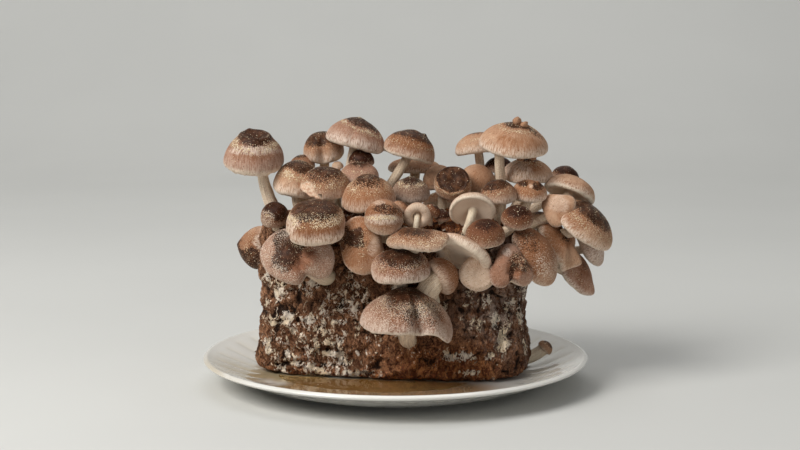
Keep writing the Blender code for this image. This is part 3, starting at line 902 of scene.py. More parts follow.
    def crust(self, grid: Numbers) -> tuple[Numbers, Numbers]:
        """The crust's relief.

        Args:
            grid: The even grid of points.

        Returns:
            How far each point stands out in millimetres, and its height from 0 in a crack to 1
            on a lump.
        """
        warp = np.stack([drift(grid, 15, s) for s in (1, 2, 3)], -1) * 5
        warp += np.stack([drift(grid, 5, s) for s in (4, 5, 6)], -1) * 1.8
        bent = grid + warp
        folded = ramp(grid[..., 0], 25, 60)
        crest = 1 - 2.4 * np.abs(drift(bent, 15, 31))
        pleat = 1 - 2.4 * np.abs(drift(bent / np.array((1.0, 1.0, 2.6)), 9, 33))
        fold = crest + (pleat - crest) * folded
        crease = 1 - 2.2 * np.abs(drift(bent, 6.5, 35))
        gaps, slant = chunks(bent / 18)
        crack = ramp(gaps, 0.16, 0.0)
        chip = chunks((grid + 0.5 * warp) / 4.6)[1]
        crumb = rough(grid, 3.2, 11, 3)
        swell = rough(grid, 26, 8, 2)
        keep = 1 - 0.85 * ramp(grid[..., 2], self.base + 5, self.base)
        keep = keep * (1 - 0.4 * ramp(np.abs(grid[..., 0]), 84, 94))
        shred = 1 - 2.2 * np.abs(drift(bent / np.array((1.0, 1.0, 1.9)), 3.4, 37))
        lift = (2.9 * swell + (1.5 + 0.5 * folded) * fold + 1.4 * crease + 0.9 * slant
                - 1.1 * crack + 1.6 * chip + 1.0 * crumb + 0.8 * shred)
        lift -= 2.2 * ramp(grid[..., 0], 60, 92) * ramp(grid[..., 2], 74, 24)
        relief = np.clip(0.53 + 0.16 * fold + 0.13 * crease + 0.16 * swell - 0.32 * crack
                         + 0.25 * chip + 0.2 * crumb + 0.12 * shred, 0, 1)
        return lift * keep, relief

    def masks(self, grid: Numbers, relief: Numbers,
              roots: list[Numbers]) -> dict[str, Numbers]:
        """Where each colour lies.

        Args:
            grid: The even grid of points.
            relief: Height of the crust, from 0 to 1.
            roots: Where stems leave the block.

        Returns:
            The masks by name.
        """
        x, z = grid[:, 0], grid[:, 2]
        patchy = rough(grid, 11, 21, 3)
        fine = rough(grid, 4.2, 27, 3)
        ragged = 0.34 * patchy + 0.26 * fine + 0.2 * (relief - 0.55)
        front = ramp(grid[:, 1], 10, -10)
        mycelium = front * ramp(x, 0, -34) * ramp(z, 92, 70) * 0.30
        for place, size, strength in self.patches:
            apart = np.hypot((x - place[0]) / size[0], (z - place[1]) / size[1])
            mycelium = np.maximum(mycelium, front * strength * np.exp(-0.7 * apart ** 2))
        for root in roots:
            near = np.exp(-((grid - root) ** 2).sum(-1) / self.root_web ** 2)
            mycelium = np.maximum(mycelium, 0.6 * near)
        hidden = ramp(grid[:, 1] + 0.16 * x, 22, 52) * ramp(z, 112, 90)
        mycelium = np.maximum(mycelium, 0.42 * hidden) + ragged
        wet = ramp(x, -25, 20) * ramp(z, 50, 14) + 0.8 * ramp(z, 14, 9)
        wet = wet * (1 - 0.75 * ramp(x, 58, 80)) + ramp(z, 110, 117)
        ashen = ramp(x, 30, 64) * ramp(z + 0.6 * (x - 60), 18, 44) * (0.55 + 0.6 * patchy)
        return {"relief": relief, "mycelium": np.clip(mycelium, 0, 0.65),
                "wet": np.clip(wet, 0, 1), "ashen": np.clip(ashen, 0, 1)}

    def scatter(self, block: Piece) -> Piece:
        """Lay loose flakes of crust on the block.

        Args:
            block: The finished block.

        Returns:
            The flakes, as one piece.
        """
        chance = np.random.default_rng(12)
        points = read_points(block.data) / MM - PLATE_CENTRE
        normals = read_points(block.data, "normal")
        free = np.flatnonzero((points[:, 2] > self.base + 2) & (normals[:, 2] > -0.5))
        on_top = ramp(points[free, 2], 112, 118)
        weight = 0.25 + 0.9 * on_top * (np.linalg.norm(points[free, :2], axis=1) > 12)
        picked = chance.choice(free, self.crumbs, replace=False, p=weight / weight.sum())
        sizes = 0.35 + 1.0 * chance.random(self.crumbs) ** 3
        piece = grains("sawdust_flakes", points[picked], normals[picked], sizes, chance)
        paint(piece.data, tint=np.repeat(chance.random(self.crumbs), GRAIN_CORNERS))
        settle(piece, CRUMBS, "")
        return piece


def chunks(points: Numbers) -> tuple[Numbers, Numbers]:
    """Angular lumps with cracks between them.

    Args:
        points: Points, in widths of one lump.

    Returns:
        0 in a crack, rising to about 1 on a lump; and how far each lump's own slanting face
        stands out, from about -0.5 to 0.5.
    """
    found = [noise.voronoi(point) for point in points.tolist()]
    gaps = np.array([near[1] - near[0] for near, _ in found])
    middles = np.array([tuple(spots[0]) for _, spots in found])
    mixed = np.sin(middles @ np.array(((12.9, 78.2, 37.7), (39.3, 11.1, 83.2), (73.2, 52.2, 9.2))))
    slopes = 2 * (HASH_SPREAD * mixed - np.floor(HASH_SPREAD * mixed)) - 1
    return gaps, ((points - middles) * slopes).sum(1)


def grains(name: str, places: Numbers, normals: Numbers, sizes: Numbers,
           chance: np.random.Generator) -> Piece:
    """Many small flat grains with eight faces each, as one mesh.

    Args:
        name: The piece's name.
        places: Where each lies, in millimetres from the plate's centre.
        normals: Which way each faces.
        sizes: Half the width of each in millimetres.
        chance: The source of their turns.

    Returns:
        The piece, with six corners for each grain.
    """
    count = len(places)
    loose = normals + 0.55 * chance.normal(size=(count, 3))
    up = loose / np.linalg.norm(loose, axis=1, keepdims=True)
    side = np.cross(up, chance.normal(size=(count, 3)))
    side /= np.linalg.norm(side, axis=1, keepdims=True)
    other = np.cross(up, side)
    stretch = sizes[:, None] * (0.6 + 0.8 * chance.random((count, 4)))
    thick = 0.35 * sizes[:, None]
    corners = np.stack([side * stretch[:, :1], other * stretch[:, 1:2], -side * stretch[:, 2:3],
                        -other * stretch[:, 3:], up * thick, -up * thick], 1)
    points = (places[:, None] + corners).reshape(-1, 3)
    around = [(0, 1), (1, 2), (2, 3), (3, 0)]
    one = np.array([(a, b, 4) for a, b in around] + [(b, a, 5) for a, b in around])
    faces = (one[None] + GRAIN_CORNERS * np.arange(count)[:, None, None]).reshape(-1, 3)
    mesh = bpy.data.meshes.new(name)
    mesh.from_pydata(((points + PLATE_CENTRE) * MM).tolist(), [], faces.tolist())
    return stand(name, mesh)


# --- The mushrooms ---------------------------------------------------------------------------

@dataclass(frozen=True)
class Cap:
    """A cap's form. Sizes marked as a share are shares of the rim's radius."""

    centre: Triple
    radius: float
    dome: float
    tilt: float
    toward: float
    fullness: float = 2.0
    edge: float = 0.2  # radius of the rounded margin, a share
    curl: float = 120.0
    hollow: float = 0.3  # how far the gills rise over the rim, a share of the dome
    knob: float = 0.0  # height of a point on the crown, below 0 for a dent, a share
    oval: float = 1.0
    lobes: tuple = ()
    wave: tuple = ()
    cleft: tuple = ()
    bend: float = 0.0
    gills: float = 1.0  # how far the gills stand out, a share of the usual, and how strong the painted shade between them is
    ridges: tuple = ()  # rings that stand up or are sunk: reach, width and height, shares
    bumps: tuple = ()  # single lumps: direction, reach, width and height, shares
    droops: tuple = ()  # where the margin hangs: direction, half width, depth, a share
    ragged: float = 0.01  # how torn the margin is, a share

    def frame(self) -> tuple[Numbers, Numbers, Numbers]:
        """The cap's directions.

        Returns:
            Downhill in the rim's plane, across it, and out of the crown.
        """
        tilt, toward = math.radians(self.tilt), math.radians(self.toward)
        downhill = np.array((math.cos(tilt) * math.cos(toward),
                             math.cos(tilt) * math.sin(toward), -math.sin(tilt)))
        across = np.array((-math.sin(toward), math.cos(toward), 0.0))
        return downhill, across, np.cross(downhill, across)

    def section(self, rings: Numbers, joint: float) -> tuple[Numbers, Numbers]:
        """The half section from crown to stem.

        Args:
            rings: Places on the ring scale, up to the joint.
            joint: The stem's radius under the cap, a share.

        Returns:
            Distances from the axis and heights over the rim, as shares.
        """
        dome = self.dome / self.radius
        angle = np.minimum(rings, 1) * math.pi / 2
        reach = np.sin(angle) ** (2 / self.fullness)
        height = dome * np.cos(angle) + self.knob * hill(reach, KNOB_WIDTH)
        curl = math.radians(self.curl)
        angle = curl * np.clip((rings - 1) / (MARGIN_END - 1), 0, 1)
        rolled = rings > 1
        reach = np.where(rolled, 1 - self.edge + self.edge * np.cos(angle), reach)
        height = np.where(rolled, -self.edge * np.sin(angle), height)
        inward = np.clip((rings - MARGIN_END) / (JOINT - MARGIN_END), 0, 1)
        start = 1 - self.edge + self.edge * math.cos(curl)
        low = -self.edge * math.sin(curl)
        under = rings > MARGIN_END
        rise = np.sin(inward * math.pi / 2)
        return (np.where(under, start + (joint - start) * inward, reach),
                np.where(under, low + (self.hollow * dome - low) * rise, height))


@dataclass(frozen=True)
class Stem:
    """A stem's form."""

    foot: Triple
    radii: tuple[float, float] = (3.4, 4.4)  # under the cap and at the foot
    aside: tuple[float, float] = (0.0, 0.0)
    pull: float = 0.4


@dataclass(frozen=True)
class Patch:
    """A spot on a cap, placed as seen from the front, in shares of the cap's radius."""

    mask: str
    right: float
    up: float
    size: float
    strength: float = 1.0
    narrow: float = 1.0  # width across over width along
    slant: float = 0.0  # degrees from level


def spots(**rows: tuple[tuple[float, ...], ...]) -> tuple[Patch, ...]:
    """Patches in short.

    Args:
        rows: For each mask, the numbers of its patches in the order of a Patch.

    Returns:
        The patches.
    """
    return tuple(Patch(mask, *row) for mask, found in rows.items() for row in found)


@dataclass(frozen=True)
class Coat:
    """How a mushroom is coloured."""

    tone: Tone
    dark: float = 0.5  # ring at which the dark middle ends
    soft: float = 0.2  # width of its edge on the ring scale
    lean: tuple[float, float] = (0.0, 0.0)  # direction as seen, and how far the dark leans to it
    flecks: Triple = (0.6, 0.12, 0.7)  # ring, width and strength
    frost: float = 0.15
    pale: float = 0.7
    rim: float = 0.7
    wrinkle: float = 0.2
    tufts: int = 60
    patches: tuple[Patch, ...] = ()


@dataclass(frozen=True)
class Nub:
    """A small growth on a cap."""

    place: Triple
    size: Triple
    turn: float = 0.0


@dataclass(frozen=True)
class Mushroom:
    """One mushroom, cap and stem grown as one piece."""

    name: str
    cap: Cap
    stem: Stem
    coat: Coat
    nubs: tuple[Nub, ...] = ()

    def fineness(self) -> float:
        """How fine the mesh is: 1 for large caps, less for small ones."""
        return 1.0 if self.cap.radius >= LARGE_CAP else 0.8 if self.cap.radius >= MIDDLE_CAP else 0.6

    def rings(self) -> Numbers:
        """Places of the rows on the ring scale."""
        fine = self.fineness()
        stretches = ((0, 1, 27), (1, MARGIN_END, 10), (MARGIN_END, JOINT, 13), (JOINT, FOOT, 21))
        rows = [np.linspace(start, stop, round(count * fine))[1:]
                for start, stop, count in stretches]
        return np.concatenate([(0.0,), *rows])

    def build(self, seed: int, block: SawdustBlock) -> Piece:
        """Model the mushroom.

        Args:
            seed: Picks its own unevenness.
            block: What it grows on.

        Returns:
            The finished piece.
        """
        rings = self.rings()
        angles = np.linspace(0, TURN, 4 * round(64 * self.fineness()), endpoint=False)
        split = int((rings <= JOINT + 1e-9).sum())
        crown, gill_gap_shade = self.cap_grid(rings[:split], angles, seed)
        shaft, foot = self.stem_grid(rings[split:], angles, seed, block)
        grid = np.concatenate([crown, shaft, np.broadcast_to(foot, (1, len(angles), 3))])
        rings = np.append(rings, FOOT)
        between = np.zeros(grid.shape[:2])
        between[:split] = gill_gap_shade
        piece, row, column = blank("shiitake_" + self.name, len(angles), len(rings) - 1)
        masks = self.masks(grid, rings, angles, between, seed)
        flat = {name: values[row, column] for name, values in masks.items()}
        points = grid[row, column]
        write_points(piece.data, points)
        around = angles[column]
        flat["grain"] = np.stack([np.cos(around), np.sin(around), GRAIN_FALL * rings[row]], -1)
        paint(piece.data, **flat)
        parts = [self.tufts(piece, points, flat, seed)] + [self.nub(nub) for nub in self.nubs]
        merge(piece, [part for part in parts if part])
        settle(piece, self.coat.tone.value, "mushroom_" + self.name)
        return piece

    def cap_grid(self, rings: Numbers, angles: Numbers,
                 seed: int) -> tuple[Numbers, Numbers]:
        """The cap's points.

        Args:
            rings: Places on the ring scale.
            angles: Places around it.
            seed: Picks its unevenness.

        Returns:
            The grid of points, and the share of each point that lies between gills.
        """
        cap = self.cap
        reach, height = cap.section(rings, self.stem.radii[0] / cap.radius)
        ring, angle = np.meshgrid(rings, angles, indexing="ij")
        reach = np.repeat(reach[:, None], len(angles), 1)
        height = np.repeat(height[:, None], len(angles), 1)
        weight = reach ** 2
        if cap.lobes:
            count, amount, direction = cap.lobes
            reach = reach * (1 + amount * weight * np.cos(count * (angle - math.radians(direction))))
        if cap.cleft:
            direction, width, depth = cap.cleft
            apart = np.angle(np.exp(1j * (angle - math.radians(direction))))
            fold = depth * hill(apart, math.radians(width))
            height = height - FOLD_SINK * fold * np.sqrt(weight) * (1 - 0.5 * weight)
            reach = reach * (1 - fold * weight)
        if cap.wave:
            count, amount, direction = cap.wave
            height = height + amount * weight * np.cos(count * (angle - math.radians(direction)))
        crown = ramp(ring, 1.12, 0.98)
        for at, width, amount in cap.ridges:
            height = height + amount * crown * hill(reach - at, width)
        for direction, at, width, amount in cap.bumps:
            turn = math.radians(direction)
            apart = np.hypot(reach * np.cos(angle) - at * math.cos(turn),
                             reach * np.sin(angle) - at * math.sin(turn))
            height = height + amount * crown * hill(apart, width)
        for direction, width, depth in cap.droops:
            apart = np.angle(np.exp(1j * (angle - math.radians(direction))))
            height = height - depth * weight * hill(apart, math.radians(width))
        circle = np.stack([np.cos(angle) * reach, np.sin(angle) * reach, 0.4 * ring], -1)
        reach = reach * (1 + 0.055 * rough(circle, 0.9, seed) * np.minimum(weight * 2, 1))
        height = height + 0.05 * rough(circle, 0.75, seed + 50) * np.minimum(1, 3 * reach)
        frill = ramp(ring, 0.86, 1.1) * ramp(ring, 1.75, 1.3)
        height = height + 1.4 * cap.ragged * frill * rough(circle, 0.16, seed + 9, 2)
        reach = reach + cap.ragged * frill * rough(circle, 0.2, seed + 19, 2)
        x = reach * np.cos(angle)
        y = reach * np.sin(angle) * cap.oval
        height = height - cap.bend * y ** 2
        inward = np.clip((ring - MARGIN_END) / (JOINT - MARGIN_END), 0, 1)
        gills = len(angles) // 4
        ridge = 0.5 + 0.5 * np.cos(gills * angle)
        blade = np.sin(np.pi * np.clip(inward * 1.15, 0, 1)) ** 0.5 * (inward > 0)
        depth = cap.gills * min(GILL_LIMIT, GILL_SHARE * cap.radius) / cap.radius
        height = height - depth * blade * (ridge - 0.5)
        x = x + self.stem.aside[0] * inward
        y = y + self.stem.aside[1] * inward
        downhill, across, up = cap.frame()
        local = x[..., None] * downhill + y[..., None] * across + height[..., None] * up
        return np.array(cap.centre) + cap.radius * local, cap.gills * (1 - ridge) * (blade > 0)

    def stem_grid(self, rings: Numbers, angles: Numbers, seed: int,
                  block: SawdustBlock) -> tuple[Numbers, Numbers]:
        """The stem's points.

        Args:
            rings: Places on the ring scale, past the joint.
            angles: Places around it.
            seed: Picks its unevenness.
            block: What it is rooted in.

        Returns:
            The grid of points, and the foot's middle.
        """
        downhill, across, up = self.cap.frame()
        top, low = self.stem.radii
        aside = self.cap.radius * (self.stem.aside[0] * downhill + self.stem.aside[1] * across)
        start = np.array(self.cap.centre) + self.cap.hollow * self.cap.dome * up + aside
        end, out = block.root(self.stem.foot)
        pull = self.stem.pull * np.linalg.norm(end - start)
        controls = np.array((start, start - pull * up, end + pull * out, end))
        side = downhill
        rows = []
        length = np.linalg.norm(end - start)
        for ring in rings:
            share = ring - JOINT
            rest = 1 - share
            weights = (rest ** 3, 3 * rest ** 2 * share, 3 * rest * share ** 2, share ** 3)
            slopes = (-rest ** 2, rest ** 2 - 2 * rest * share, 2 * rest * share - share ** 2,
                      share ** 2)
            centre = np.dot(weights, controls)
            along = np.dot(slopes, controls)
            along /= np.linalg.norm(along)
            side = side - (side @ along) * along
            side /= np.linalg.norm(side)
            flare = FLARE * math.exp(-share * length / FLARE_FALL)
            radius = top + (low - top) * share ** 1.5 + flare
            circle = np.stack([np.cos(angles), np.sin(angles),
                               np.full_like(angles, share * length / 9)], -1)
            uneven = 1 + 0.07 * rough(circle, 0.8, seed + 31) + 0.03 * drift(circle, 0.22, seed)
            radius = (radius * uneven)[:, None]
            rows.append(centre + radius * (np.cos(angles)[:, None] * side
                                           + np.sin(angles)[:, None] * np.cross(side, along)))
        return np.array(rows), centre

    def masks(self, grid: Numbers, rings: Numbers, angles: Numbers,
              between: Numbers, seed: int) -> dict[str, Numbers]:
        """Where each colour lies.

        Args:
            grid: The points.
            rings: Each row's place on the ring scale.
            angles: Each column's place around.
            between: The share of each point that lies between gills, where the gills' colour is painted
                darker as shade.
            seed: Picks the unevenness of the edges.

        Returns:
            The masks by name.
        """
        coat, cap = self.coat, self.cap
        ring = np.repeat(rings[:, None], len(angles), 1)
        seen = (grid - np.array(cap.centre)) / cap.radius
        right, up = seen[..., 0], seen[..., 2] + LOOK_DOWN * seen[..., 1]
        uneven = rough(seen, 0.32, seed + 70)
        lean = math.radians(coat.lean[0])
        place = ring - coat.lean[1] * (right * math.cos(lean) + up * math.sin(lean))
        place = place + 0.07 * uneven
        on_cap = ramp(ring, MARGIN_END + 0.02, MARGIN_END - 0.06)
        masks = {
            "dark": ramp(place, coat.dark + coat.soft, coat.dark - coat.soft),
            "flecks": coat.flecks[2] * hill(place - coat.flecks[0], coat.flecks[1])
            * (0.75 + 0.5 * uneven),
            "frost": coat.frost * ramp(ring, 0.1, 0.5) * (0.8 + 0.4 * uneven),
            "pale": 1.15 * coat.pale * ramp(ring, 0.72, 1.08),
            "blush": 0.65 * ramp(place, coat.dark + 0.5, coat.dark + 0.05),
            "wrinkle": np.full_like(ring, coat.wrinkle),
            "torn": np.zeros_like(ring),
            "tuft": np.zeros_like(ring),
            "rim": coat.rim * ramp(ring, 1.0, 1.1),
        }
        for patch in coat.patches:
            slant = math.radians(patch.slant)
            x = (right - patch.right) * math.cos(slant) + (up - patch.up) * math.sin(slant)
            y = (up - patch.up) * math.cos(slant) - (right - patch.right) * math.sin(slant)
            apart = np.hypot(x, y / patch.narrow) / patch.size + 0.25 * uneven
            spot = patch.strength * ramp(apart, 1.15, 0.7)
            masks[patch.mask] = np.clip(masks[patch.mask] + spot, 0, 1)
        for name in masks:
            masks[name] = np.clip(masks[name], 0, 1) * on_cap
        masks["gills"] = ramp(ring, MARGIN_END - 0.04, MARGIN_END + 0.04) * ramp(
            ring, JOINT + 0.03, JOINT - 0.03)
        masks["between"] = between
        masks["stem"] = ramp(ring, JOINT - 0.03, JOINT + 0.03)
        masks["collar"] = ramp(ring, 2.72, 2.9) * (0.75 + 0.5 * uneven).clip(0, 1)
        return masks

    def tufts(self, piece: Piece, points: Numbers, masks: dict[str, Numbers],
              seed: int) -> Piece | None:
        """Small cottony scales that stand on the cap; those spread over the dark crown are partly painted
        highlights.

        Args:
            piece: The mushroom.
            points: Its vertices.
            masks: What each vertex wears.
            seed: Picks their places.

        Returns:
            The scales, or nothing where the cap has none.
        """
        if not self.coat.tufts:
            return None
        chance = np.random.default_rng(100 + seed)
        normals = read_points(piece.data, "normal")
        # The share of the weight on the dark crown puts pale scales there as painted highlights, in place
        # of wet glints; those on the fleck ring are the cap's own scales.
        weight = masks["flecks"] + 0.22 * masks["dark"] + 0.15 * masks["frost"] + 1e-6
        reach = np.linalg.norm(points - np.array(self.cap.centre), axis=1) / self.cap.radius
        weight = weight * (masks["gills"] < 0.1) * (masks["stem"] < 0.1) * reach
        count = min(self.coat.tufts, len(points) // 4)
        picked = chance.choice(len(points), count, replace=False, p=weight / weight.sum())
        sizes = 0.14 + 0.3 * chance.random(count) ** 2
        scales = grains(piece.name + "_tufts", points[picked], normals[picked], sizes, chance)
        layers = {name: np.zeros(GRAIN_CORNERS * count) for name in MASKS}
        layers["tuft"] += 1
        paint(scales.data, grain=np.repeat(masks["grain"][picked], GRAIN_CORNERS, 0), **layers)
        return scales

    def nub(self, nub: Nub) -> Piece:
        """A small lumpy growth.

        Args:
            nub: Its place and size.

        Returns:
            The growth, as a piece to merge.
        """
        columns, rows = 24, 14
        piece, row, column = blank(self.name + "_nub", columns, rows)
        angle = column / columns * TURN
        fall = row / rows * math.pi
        ball = np.stack([np.sin(fall) * np.cos(angle), np.sin(fall) * np.sin(angle),
                         np.cos(fall)], -1)
        ball *= 1 + 0.28 * rough(ball, 0.7, sum(nub.place), 2)[:, None]
        turn = math.radians(nub.turn)
        ball *= np.array(nub.size)
        x, z = ball[:, 0].copy(), ball[:, 2].copy()
        ball[:, 0] = x * math.cos(turn) + z * math.sin(turn)
        ball[:, 2] = z * math.cos(turn) - x * math.sin(turn)
        write_points(piece.data, ball + np.array(nub.place))
        layers = {name: np.zeros(len(ball)) for name in MASKS}
        layers["blush"] += 0.5
        paint(piece.data, grain=ball, **layers)
        return piece


def merge(piece: Piece, parts: list[Piece]) -> None:
    """Join small parts into a piece.

    Args:
        piece: The piece that stays.
        parts: What is joined to it.
    """
    if not parts:
        return
    bpy.ops.object.select_all(action="DESELECT")
    for part in (*parts, piece):
        part.select_set(True)
    bpy.context.view_layer.objects.active = piece
    bpy.ops.object.join()


